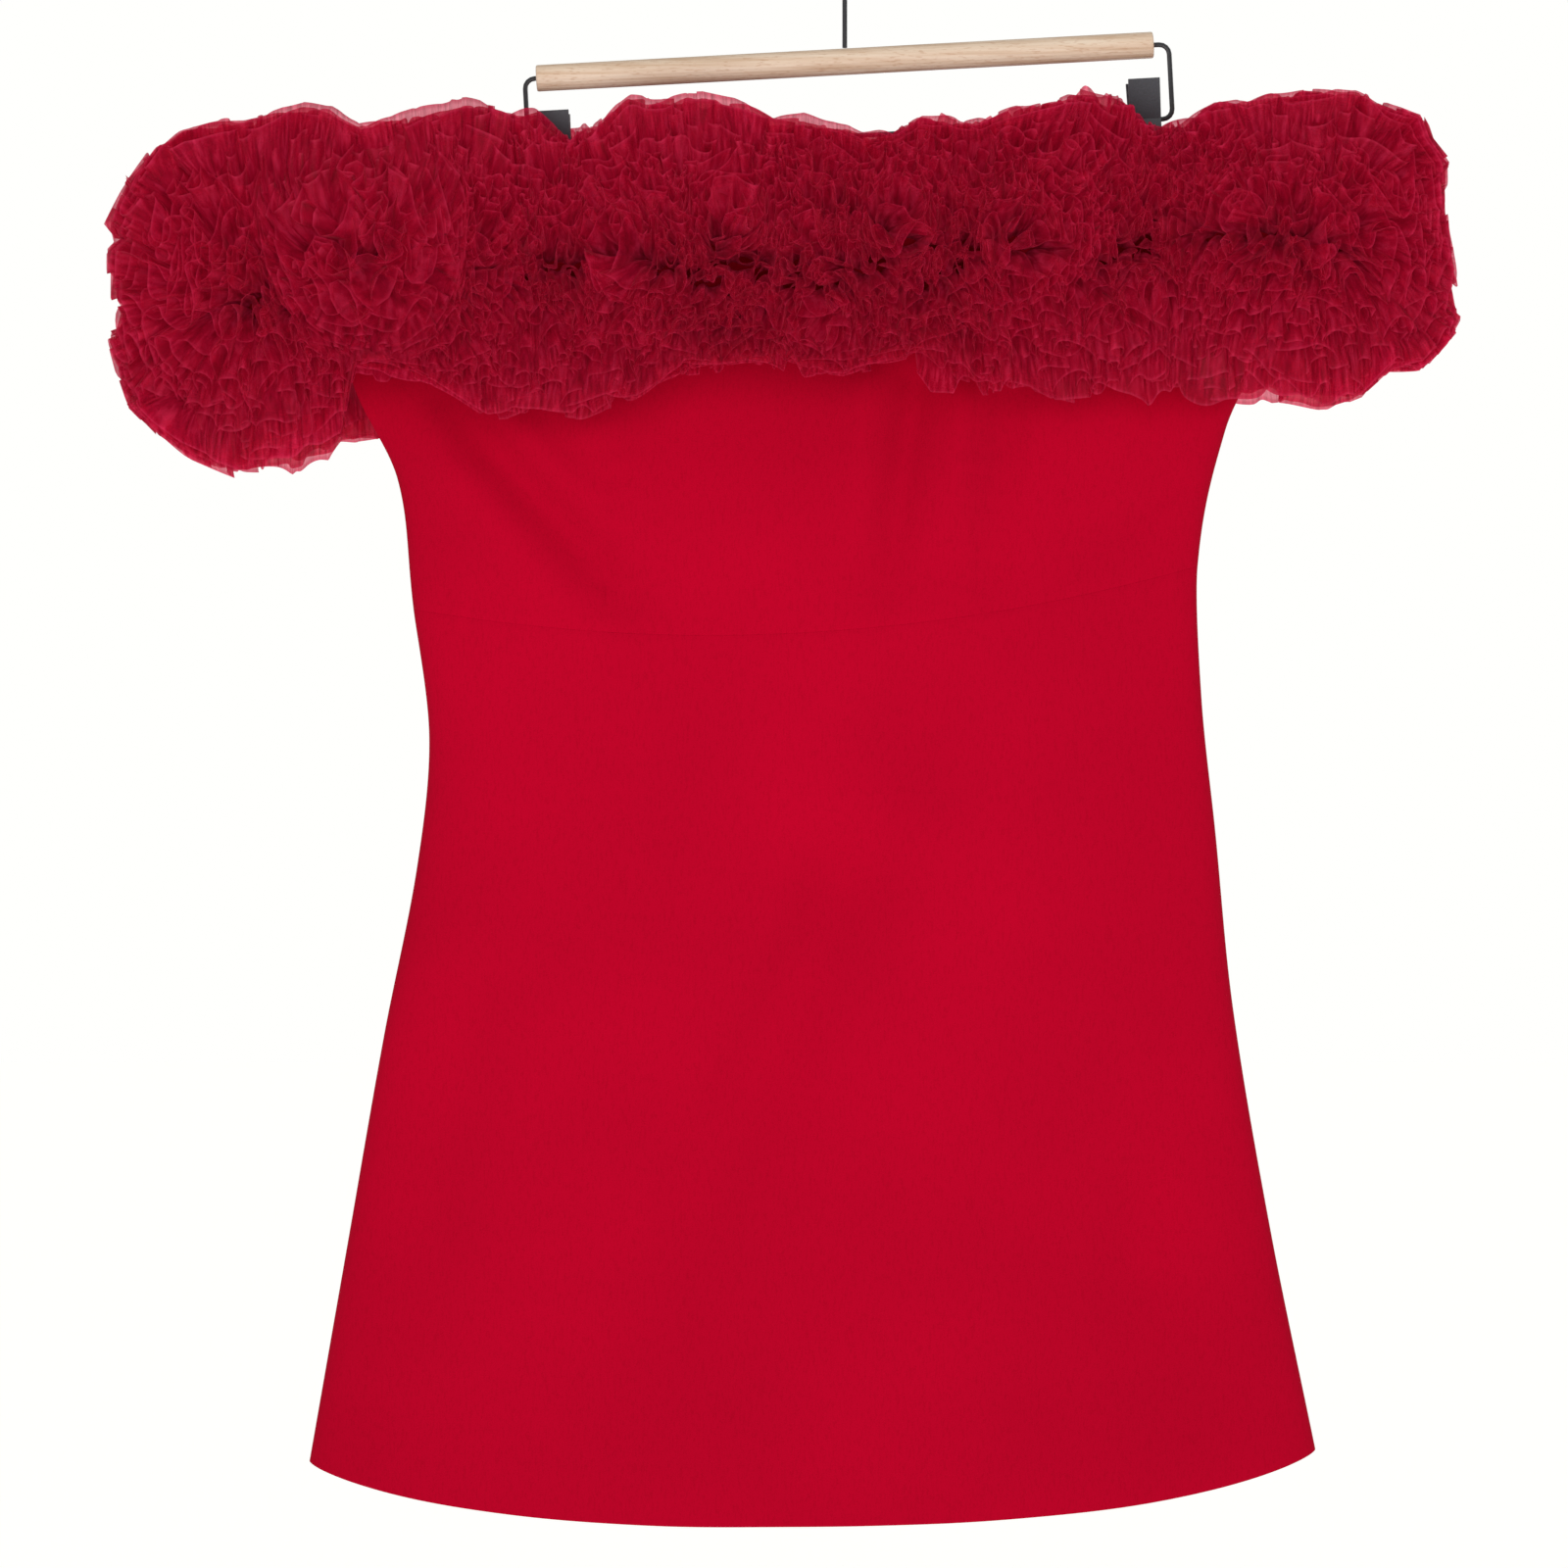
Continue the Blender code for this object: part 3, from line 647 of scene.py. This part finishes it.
def add_panel(name, node, side, seams, rows, across, down):
    """A panel between two seams, each a function of the row that gives its x, or None for a side
    edge. It stands for one CAD node."""

    def place(s, t, inset):
        row = mix(rows[0], rows[1], t)
        left, right = (
            end if seam is None else share_at(seam(row) + offset * SEWN_GAP / 2, row)
            for seam, end, offset in zip(seams, (0.0, 1.0), (1, -1))
        )
        at = mix(left, right, s)
        points = body(at, row, side, inset)
        x, z = points[:, 0], points[:, 2]
        length = BODICE_LENGTH if rows[1] <= WAIST else SKIRT_LENGTH
        from_waist = np.abs(row - WAIST) * length
        roll = groove(from_waist) + pucker(from_waist, x, 21)
        for seam in seams:
            if seam is not None:
                distance = np.abs(x - seam(row))
                roll = roll + groove(distance, PRINCESS_DEPTH) + pucker(distance, z, 22)
        if name == "crepe_skirt_front":
            for (x0, z0), (x1, z1) in DARTS:
                share = np.clip((z / MM - z0) / (z1 - z0), 0, 1)
                distance = np.hypot(x - mix(x0, x1, share) * MM, np.maximum(z1 * MM - z, 0))
                fade = 1 - ease((share - DART_FADE_START) / (1 - DART_FADE_START))
                roll = roll + groove(distance, DART_DEPTH) * mix(DART_END_SHARE, 1, fade)
                roll = roll + pucker(distance, z, 23) * DART_PUCKER
        if rows[1] == HEM:
            turned = ease(((HEM - row) * length - HEM_TURN) / HEM_STEP_WIDTH)
            roll = roll + HEM_STEP * turned
        flatness = 1 - clip_pinch(x, row)
        points[:, 1] -= side * roll * flatness
        return points

    obj = add_wall(name, across, down, place, CREPE_WALL)
    finish_cloth(obj, crepe, [node])
    return obj


left_seam, right_seam = (lambda row, x=x: x * MM for x in PRINCESS_SEAMS_X)
BODICE = (0, WAIST - SEWN_GAP / 2 / BODICE_LENGTH)
SKIRT = (WAIST + SEWN_GAP / 2 / SKIRT_LENGTH, HEM)
PANELS = (
    ("bodice_side_front_left", FRONT, (None, left_seam), BODICE, 48, 70, (0.16, 0.24)),
    ("bodice_centre_front", FRONT, (left_seam, right_seam), BODICE, 70, 70, (0.20, 0.24)),
    ("bodice_side_front_right", FRONT, (right_seam, None), BODICE, 48, 70, (0.18, 0.24)),
    ("bodice_back_left", BACK, (None, centre_back), BODICE, 70, 60, (0.27, 0.26)),
    ("bodice_back_right", BACK, (centre_back, None), BODICE, 70, 60, (0.27, 0.26)),
    ("skirt_front", FRONT, (None, None), SKIRT, 140, 140, (0.56, 0.48)),
    ("skirt_back_left", BACK, (None, centre_back), SKIRT, 64, 110, (0.29, 0.48)),
    ("skirt_back_right", BACK, (centre_back, None), SKIRT, 64, 110, (0.29, 0.48)),
)
for node, side, seams, rows, across, down, flat in PANELS:
    panel = add_panel(f"crepe_{node}", node, side, seams, rows, across, down)
    print(panel.name, "area", cloth_area(panel), "m2")

# %% [markdown]
# A sleeve band is a strip of the crepe that goes round the arm. Hung flat it is two straight
# runs with a soft fold at the outer end. The ruffles cover its outside, but its inside shows
# from above and below. Its front end is sewn to the side front.


# %% Sleeve bands
def sleeve(hand, turn, down, inset):
    """Points of a sleeve band. turn runs from 0 at its front seam to pi at its back one, and
    down from 0 at its top edge to 1 at its foot."""
    band = SLEEVES[hand]
    edges = row_edges(down * BAND_FOOT)
    x, z = edges[:2] if hand == LEFT else edges[2:]
    radius = smooth(ROWS, "gap", down * BAND_FOOT) * MM - inset + SEAM / 2
    run = np.abs(band.fold_x * MM - x) - SEAM - inset - radius
    along = (run + radius * math.pi / 2) * np.sin(turn)
    angle = np.maximum(along - run, 0) / radius
    out = np.minimum(along, run) + radius * np.sin(angle)
    y = radius * np.cos(angle) * np.where(turn < math.pi / 2, -1, 1)
    fold_z = mix(band.top_z, band.foot_z, down) * MM
    return np.stack([x + hand * (SEAM + out), y, mix(z, fold_z, out / (run + radius))], axis=-1)


for hand, band in SLEEVES.items():
    node = f"sleeve_band_{band.hand}"
    obj = add_wall(
        f"crepe_{node}",
        80,
        36,
        lambda s, t, inset, hand=hand: sleeve(hand, math.pi * s, t, inset),
        CREPE_WALL,
    )
    finish_cloth(obj, crepe, [node])
    print(obj.name, "area", cloth_area(obj), "m2")

# %% [markdown]
# The ruffles are strips of organza, each gathered to about half of its length and sewn to the
# band by one edge. Thirty-six strips lie one under the other, on four tapes. The upper ones stand
# up, the lower ones hang down and those between stand straight out, so from the front one looks
# onto their wavy free edges, and at the outline onto broad petals with fine rays. Cloth simulation
# would take far too long for so many layers, so a strip is a grid again: each of its rays bends
# up or down as far as the lump of ruffles that it is in asks, and waves grow along it from the
# sewn edge outwards. Each strip has waves of its own, and shares only the broad ones with all the
# others, so that the layers fill the lumps unevenly, as real gathers do.

# %% The ruffles' tables, in millimetres and degrees
# How far the topmost and the lowest strip lean up and down at places along the band.
Lump = namedtuple("Lump", "x lean_up lean_down")
LUMPS = (
    Lump(-322, 62, 80),
    Lump(-300, 84, 100),
    Lump(-276, 100, 104),
    Lump(-246, 72, 66),
    Lump(-181, 102, 82),
    Lump(-126, 66, 75),
    Lump(-81, 88, 42),
    Lump(-20, 46, 32),
    Lump(9, 24, 34),
    Lump(39, 44, 30),
    Lump(84, 44, 62),
    Lump(114, 68, 84),
    Lump(159, 40, 98),
    Lump(189, 60, 108),
    Lump(234, 72, 106),
    Lump(252, 70, 96),
    Lump(270, 58, 78),
)
Tape = namedtuple("Tape", "name strips cut_width")
TAPES = (
    Tape("top", 10, 0.066),
    Tape("upper", 8, 0.047),
    Tape("lower", 8, 0.047),
    Tape("bottom", 10, 0.058),
)
STRIP_COUNT = sum(tape.strips for tape in TAPES)
FIRST_DOWN, LAST_DOWN = 0.06, 0.92
TOP_WIDTH, MIDDLE_WIDTH, BOTTOM_WIDTH = 66, 46, 58
START_TURN, BROAD_TURN, OWN_TURN = 10, 10, 17
BACK_LUMP_SHIFT = -14
SEWN_STAND_OFF, SEWN_WAVE = 0.8, 1.2
CLIP_DETOUR = 9.5
# Waves are longer and higher on the outermost strips than on the middle ones, and differ again
# where the band folds round at the sleeves' ends, over a reach of END_REACH.
WAVE_LENGTH, OUTER_WAVE_LENGTH, END_WAVE_LENGTH = 9, 30, 17
WAVE_HEIGHT, OUTER_WAVE_HEIGHT, END_WAVE_HEIGHT = 4.6, 7, 9
FINE_WAVE_HEIGHT = 1.1
UNEVEN_HEIGHT, UNEVEN_WIDTH = 0.4, 0.07
SHARED_DRIFT, OWN_DRIFT = 2.4, 1.8
OVERHANG, OUTER_OVERHANG = 0.15, 0.0
SIDE_PUSH, OUTER_SIDE_PUSH, LIFT = 9, 4, 5
END_REACH = 32
LEFT_END_WIDTH, RIGHT_END_WIDTH = 1.15, 0.95
# Free edges part from the middle of each clump, by push at its radius.
Clump = namedtuple("Clump", "x z radius push")
CLUMPS = (
    Clump(-311, -203, 58, 10),
    Clump(-181, -188, 44, 7),
    Clump(-91, -173, 38, 6),
    Clump(4, -188, 40, 6),
    Clump(99, -173, 42, 7),
    Clump(234, -183, 54, 9),
    Clump(-247, -163, 20, 20),
    Clump(-241, -190, 20, 20),
    Clump(-216, -167, 9, 6),
    Clump(-116, -184, 9, 6),
    Clump(-59, -170, 9, 6),
    Clump(-11, -218, 9, 6),
    Clump(29, -173, 9, 6),
    Clump(88, -183, 9, 6),
    Clump(138, -224, 9, 6),
    Clump(153, -208, 9, 6),
    Clump(201, -170, 9, 6),
)
BACK_CLUMP_SHIFT = 26
# Each strip reads its own ripples OWN_STEP further on than the strip above it, so they differ, and
# the shared ones only SHARED_STEP further on from the first strip to the last, in metres.
OWN_STEP, SHARED_STEP = 0.031, 0.17
PARTING = 0.16
# The ruffles' outline, measured in millimetres in the plane of the hanger: x and z along the top
# edge and along the bottom edges of the front and the back, and z and x along the two ends.
TOP_EDGE = (
    (-366, -146), (-351, -125), (-336, -117), (-306, -115), (-276, -106), (-261, -108),
    (-246, -119), (-231, -116), (-216, -108), (-201, -105), (-186, -102), (-171, -106),
    (-156, -106), (-141, -114), (-126, -115), (-111, -102), (-81, -99), (-51, -106),
    (-36, -114), (-21, -111), (-6, -115), (9, -121), (24, -118), (39, -108), (54, -111),
    (69, -113), (84, -107), (99, -102), (114, -98), (129, -101), (144, -102), (159, -115),
    (174, -111), (189, -104), (204, -106), (219, -99), (234, -97), (249, -98), (264, -99),
    (279, -107), (294, -112), (308, -138),
)
FRONT_EDGE = (
    (-366, -261), (-351, -276), (-336, -287), (-321, -295), (-306, -299), (-276, -300),
    (-258, -280), (-249, -244), (-211, -251), (-181, -268), (-151, -268), (-106, -263),
    (-81, -246), (-51, -243), (-1, -247), (31, -238), (44, -256), (94, -258), (139, -268),
    (195, -268), (249, -262), (264, -259), (279, -245), (294, -244), (309, -227),
)
BACK_EDGE = (
    (-366, -261), (-351, -276), (-336, -287), (-321, -295), (-306, -299), (-266, -298),
    (-258, -283), (-200, -283), (-160, -268), (195, -268), (249, -262), (264, -259),
    (279, -245), (294, -244), (309, -227),
)
LEFT_EDGE = (
    (-299, -306), (-287, -336), (-276, -351), (-261, -366), (-228, -377), (-214, -372),
    (-206, -377), (-180, -377), (-175, -371), (-168, -377), (-146, -366), (-125, -351),
    (-117, -336), (-106, -276),
)
RIGHT_EDGE = (
    (-246, 294), (-241, 304), (-228, 309), (-216, 316), (-198, 314), (-171, 309),
    (-138, 308), (-125, 298), (-112, 294), (-97, 249),
)
# Strips end up to EDGE_SPREAD inside that outline, so the rim is uneven in depth. A ray that is
# turned further than FULL_TURN takes all its spare length towards the viewer, or away from them
# at the back, and rays turn over from front to back within FOLD_DEPTH of the sleeve's fold.
EDGE_SPREAD, FULL_TURN, FOLD_DEPTH = 9, 10, 12
# The gap at the zip is a share of the loop, whose length at the free edges is about this, in m.
CENTRE_BACK_GAP = 13
LOOP_LENGTH = 1.6
LOOP_POINTS, PIECE_POINTS = 1800, 60
LINE_EVENING, AWAY_EVENING = 12, 30
COLUMN_REACH = 0.7
TURN_POWER = 1.3
COLUMNS, ACROSS = 2050, 5
# The UV map's u is the distance along a strip times UV_ALONG, and starts elsewhere on each strip.
UV_ALONG, UV_STRIP_SHIFT = 3, 0.37


def band_loop(down):
    """Points round the outside of the band: centre back, left fold, front, right fold."""
    row = down * BAND_FOOT
    t = np.linspace(0, 1, PIECE_POINTS)
    half = math.pi / 2
    pieces = (
        body(mix(0.5, 0, t), row, BACK, 0),
        sleeve(LEFT, mix(math.pi, half, t), down, 0),
        sleeve(LEFT, mix(half, 0, t), down, 0),
        body(t, row, FRONT, 0),
        sleeve(RIGHT, mix(0, half, t), down, 0),
        sleeve(RIGHT, mix(half, math.pi, t), down, 0),
        body(mix(1, 0.5, t), row, BACK, 0),
    )
    return np.concatenate(pieces)


def lengths_along(points):
    """How far along a line each of its points is."""
    steps = np.linalg.norm(np.diff(points, axis=0), axis=1)
    return np.concatenate([[0], np.cumsum(steps)])


def read_along(points, lengths, at):
    """Points of a line, or directions along it, at distances along it."""
    return np.stack([np.interp(at, lengths, points[:, k]) for k in range(3)], axis=-1)


def unit(directions):
    return directions / np.linalg.norm(directions, axis=1)[:, None]


def evened(values, over):
    """A moving average along a line's first axis, its ends repeated."""
    padded = np.pad(values, ((over, over), (0, 0)), mode="edge")
    sums = np.cumsum(np.concatenate([np.zeros((1, values.shape[1])), padded]), axis=0)
    return (sums[2 * over + 1 :] - sums[: -2 * over - 1]) / (2 * over + 1)


Strip = namedtuple(
    "Strip", "line away tangent width start end at shared own lean_share at_end"
)


def lay_strip(index):
    """One strip's sewn edge: its points, the directions away from the band and along it, the
    strip's width there, the angles at which its rays start and end, and the places at which its
    shared ripples and its own are read."""
    share = index / (STRIP_COUNT - 1)
    lean_share = 1 - 2 * share
    down = mix(FIRST_DOWN, LAST_DOWN, share)
    loop = band_loop(down)
    lengths = lengths_along(loop)
    line = read_along(loop, lengths, np.linspace(0, 1, LOOP_POINTS) * lengths[-1])
    along = np.gradient(evened(line, LINE_EVENING), axis=0)
    away = unit(np.stack([along[:, 1], -along[:, 0], along[:, 2] * 0], axis=-1))
    away = unit(evened(away, AWAY_EVENING))
    side_width = TOP_WIDTH if lean_share > 0 else BOTTOM_WIDTH
    width = mix(MIDDLE_WIDTH, side_width, abs(lean_share) ** 1.5) * MM
    # Columns are spaced along the free edge, which fans out round the sleeves' ends.
    outer = lengths_along(line + away * width * COLUMN_REACH)
    at = np.linspace(0, outer[-1], COLUMNS + 1)
    line, away = read_along(line, outer, at), unit(read_along(away, outer, at))
    tangent = np.stack([-away[:, 1], away[:, 0], away[:, 2] * 0], axis=-1)
    shared = np.full_like(at, share * SHARED_STEP)
    own = np.full_like(at, index * OWN_STEP)
    shift = np.where(line[:, 1] > 0, BACK_LUMP_SHIFT, 0)
    lump_column = "lean_up" if lean_share > 0 else "lean_down"
    lean = smooth(LUMPS, lump_column, line[:, 0] / MM + shift)
    to_fold = np.minimum(line[:, 0] - line[:, 0].min(), line[:, 0].max() - line[:, 0])
    at_end = np.exp(-((to_fold / (END_REACH * MM)) ** 2))
    # The parting between the strips that lean up and down wanders along the loop.
    leaning = lean_share + PARTING * ripple(33, 0.075, line[:, 0], np.sign(line[:, 1]) * 0.1)
    end = np.radians(lean * np.sign(leaning) * np.abs(leaning) ** mix(1.05, 0.75, at_end))
    end = end + math.radians(BROAD_TURN) * ripple(31, 0.07, at, shared)
    end = end + math.radians(OWN_TURN) * ripple(32, 0.022, at, own)
    start = math.radians(START_TURN) * lean_share
    return Strip(line, away, tangent, width, start, end, at, shared, own, lean_share, at_end)


def clump_move(points):
    """How the free edges are pushed away from the middle of each lump of ruffles."""
    move = np.zeros_like(points)
    shift = np.where(points[..., 1] > 0, BACK_CLUMP_SHIFT, 0)
    for clump in CLUMPS:
        dx = points[..., 0] / MM - clump.x - shift
        dz = points[..., 2] / MM - clump.z
        reach = np.hypot(dx, dz) / clump.radius
        strength = clump.push * np.exp(0.5 - 0.5 * reach**2) / clump.radius * MM
        move[..., 0] += dx * strength
        move[..., 2] += dz * strength
    return move


def edge_at(table, at):
    """The second value of a table at values of its first."""
    return np.interp(at, [row[0] for row in table], [row[1] for row in table])


def turn_inside(root, ray, spare, t):
    """Turn rays that would pass the outline towards the viewer, or away from them at the back.
    The outline was measured in perspective, so a tip is set against it where the line from the
    photograph's viewpoint to the tip crosses the plane of the hanger."""
    tip = root[0] + ray[-1]
    nearness = VIEW_DISTANCE / (VIEW_DISTANCE + tip[:, 1])
    seen = {k: (VIEW_CENTRE[k] + (tip[:, k] - VIEW_CENTRE[k]) * nearness) / MM for k in (0, 2)}
    front = root[0, :, 1] < 0
    foot = np.where(front, edge_at(FRONT_EDGE, seen[0]), edge_at(BACK_EDGE, seen[0]))
    seen[2] = np.clip(seen[2], foot + spare, edge_at(TOP_EDGE, seen[0]) - spare)
    seen[0] = np.clip(
        seen[0], edge_at(LEFT_EDGE, seen[2]) + spare, edge_at(RIGHT_EDGE, seen[2]) - spare
    )
    turned = ray.copy()
    for k, place in seen.items():
        limit = VIEW_CENTRE[k] + (place * MM - VIEW_CENTRE[k]) / nearness
        turned[..., k] += (limit - tip[:, k]) * t**TURN_POWER
    length = np.linalg.norm(ray[-1], axis=-1)
    flat = np.hypot(turned[-1, :, 0], turned[-1, :, 2])
    facing = np.clip(root[0, :, 1] / (FOLD_DEPTH * MM), -1, 1)
    depth = np.sqrt(np.maximum(length**2 - flat**2, 0)) * facing
    passed = np.clip(np.linalg.norm(turned[-1] - ray[-1], axis=-1) / (FULL_TURN * MM), 0, 1)
    turned[..., 1] += (depth - ray[-1, :, 1]) * passed * t**TURN_POWER
    return turned


def strip_waves(strip, t):
    """How far a strip's waves move each point off its ray, up or down and sideways."""
    at, shared, own, at_end = strip.at, strip.shared, strip.own, strip.at_end
    outer = abs(strip.lean_share) ** 4
    wave_length = mix(mix(WAVE_LENGTH, OUTER_WAVE_LENGTH, outer), END_WAVE_LENGTH, at_end) * MM
    phase = 2 * math.pi * np.cumsum(np.gradient(at) / wave_length)
    phase = phase + SHARED_DRIFT * ripple(41, 0.05, at, shared)
    phase = phase + OWN_DRIFT * ripple(42, 0.024, at, own)
    size = mix(mix(WAVE_HEIGHT, OUTER_WAVE_HEIGHT, outer), END_WAVE_HEIGHT, at_end) * MM
    size = size * (1 + UNEVEN_HEIGHT * ripple(43, 0.03, at, own))
    push = mix(SIDE_PUSH, OUTER_SIDE_PUSH, outer) * MM * ripple(45, 0.03, at, own)
    lift = LIFT * MM * ripple(46, 0.045, at, shared)
    height = mix(SEWN_WAVE * MM, size, t**1.6)
    fine = FINE_WAVE_HEIGHT * MM * t * np.sin(2.3 * phase + 2 * ripple(47, 0.03, at, shared))
    overhang = mix(OVERHANG, OUTER_OVERHANG, outer)
    return (
        height * np.cos(phase) + fine + lift * t**1.5,
        wave_length * overhang * t * np.sin(2 * phase) + push * t**1.5,
    )


UP = np.array([0, 0, 1.0])


def strip_grid(index):
    """The points of one strip, from its sewn edge to its free edge, and how far along they are."""
    strip = lay_strip(index)
    line, away, start, end = strip.line, strip.away, strip.start, strip.end
    end_width = np.where(line[:, 0] > 0, RIGHT_END_WIDTH, LEFT_END_WIDTH)
    uneven = 1 + UNEVEN_WIDTH * ripple(44, 0.03, strip.at, strip.own)
    width = strip.width * mix(1, end_width, strip.at_end) * uneven
    # A ray is an arc from its start angle to its end angle. A straight one gets a trace of bend.
    t = np.linspace(0, 1, ACROSS + 1)[:, None]
    turn = mix(start, end, t)
    bend = np.where(np.abs(end - start) < 0.02, 0.02, end - start)
    out = (np.sin(start + bend * t) - math.sin(start)) / bend
    up = (math.cos(start) - np.cos(start + bend * t)) / bend
    # The topmost strips pass below the clips' jaws.
    topmost = max(0, 1 - (1 - strip.lean_share) * 3)
    under_clip = clip_pinch(line[:, 0], 0) * topmost * CLIP_DETOUR * MM
    root = (line + away * SEWN_STAND_OFF * MM - UP * under_clip[:, None])[None]
    ray = away[None] * (width * out)[..., None] + UP * (width * up)[..., None]
    reach = np.linalg.norm(ray, axis=-1) + SEWN_WAVE * MM
    off_ray, sideways = strip_waves(strip, t)
    across_ray = UP * np.cos(turn)[..., None] - away[None] * np.sin(turn)[..., None]
    ray = ray + across_ray * off_ray[..., None] + strip.tangent[None] * sideways[..., None]
    # A ray turned aside stays as long as the strip is wide, so petals end in round edges.
    ray = ray + clump_move(root + ray) * (t**2)[..., None]
    ray = ray * np.minimum(1, reach / (np.linalg.norm(ray, axis=-1) + 1e-9))[..., None]
    spare = EDGE_SPREAD * (0.5 + 0.5 * ripple(48, 0.045, strip.at, strip.own))
    return root + turn_inside(root, ray, spare, t), strip.at


def add_ruffle(name, node, indices, shares):
    """The strips of one tape between two shares of the loop, as one mesh."""
    bm = bmesh.new()
    uv = bm.loops.layers.uv.new("strip")
    for index in indices:
        points, at = strip_grid(index)
        first, last = (round(share * COLUMNS) for share in shares)
        points = points[:, first : last + 1]
        along = at[first : last + 1] * UV_ALONG + index * UV_STRIP_SHIFT
        rows, columns = points.shape[:2]
        made = bmesh.ops.create_grid(bm, x_segments=columns - 1, y_segments=rows - 1, size=0.5)
        for v in made["verts"]:
            column = round((v.co.x + 0.5) * (columns - 1))
            row = round((v.co.y + 0.5) * (rows - 1))
            v.co = points[row, column]
            for loop in v.link_loops:
                loop[uv].uv = (along[column], row / (rows - 1))
    mesh = bpy.data.meshes.new(name)
    bm.to_mesh(mesh)
    bm.free()
    mesh.shade_smooth()
    obj = add_object(name, mesh)
    finish_cloth(obj, organza, [node])
    return obj


half_gap = CENTRE_BACK_GAP * MM / 2 / LOOP_LENGTH
triangles = 0
first_strip = 0
for tape in TAPES:
    indices = range(first_strip, first_strip + tape.strips)
    first_strip += tape.strips
    line = lay_strip(indices[len(indices) // 2]).line
    left_fold = int(np.argmin(line[:, 0])) / COLUMNS
    right_fold = int(np.argmax(line[:, 0])) / COLUMNS
    pieces = (
        ("back_left", (half_gap, left_fold)),
        ("front", (left_fold, right_fold)),
        ("back_right", (right_fold, 1 - half_gap)),
    )
    for place, shares in pieces:
        name = f"organza_{tape.name}_{place}"
        obj = add_ruffle(name, f"ruffle_{tape.name}_{place}", indices, shares)
        triangles += len(obj.data.polygons) * 2
print("organza triangles", triangles)
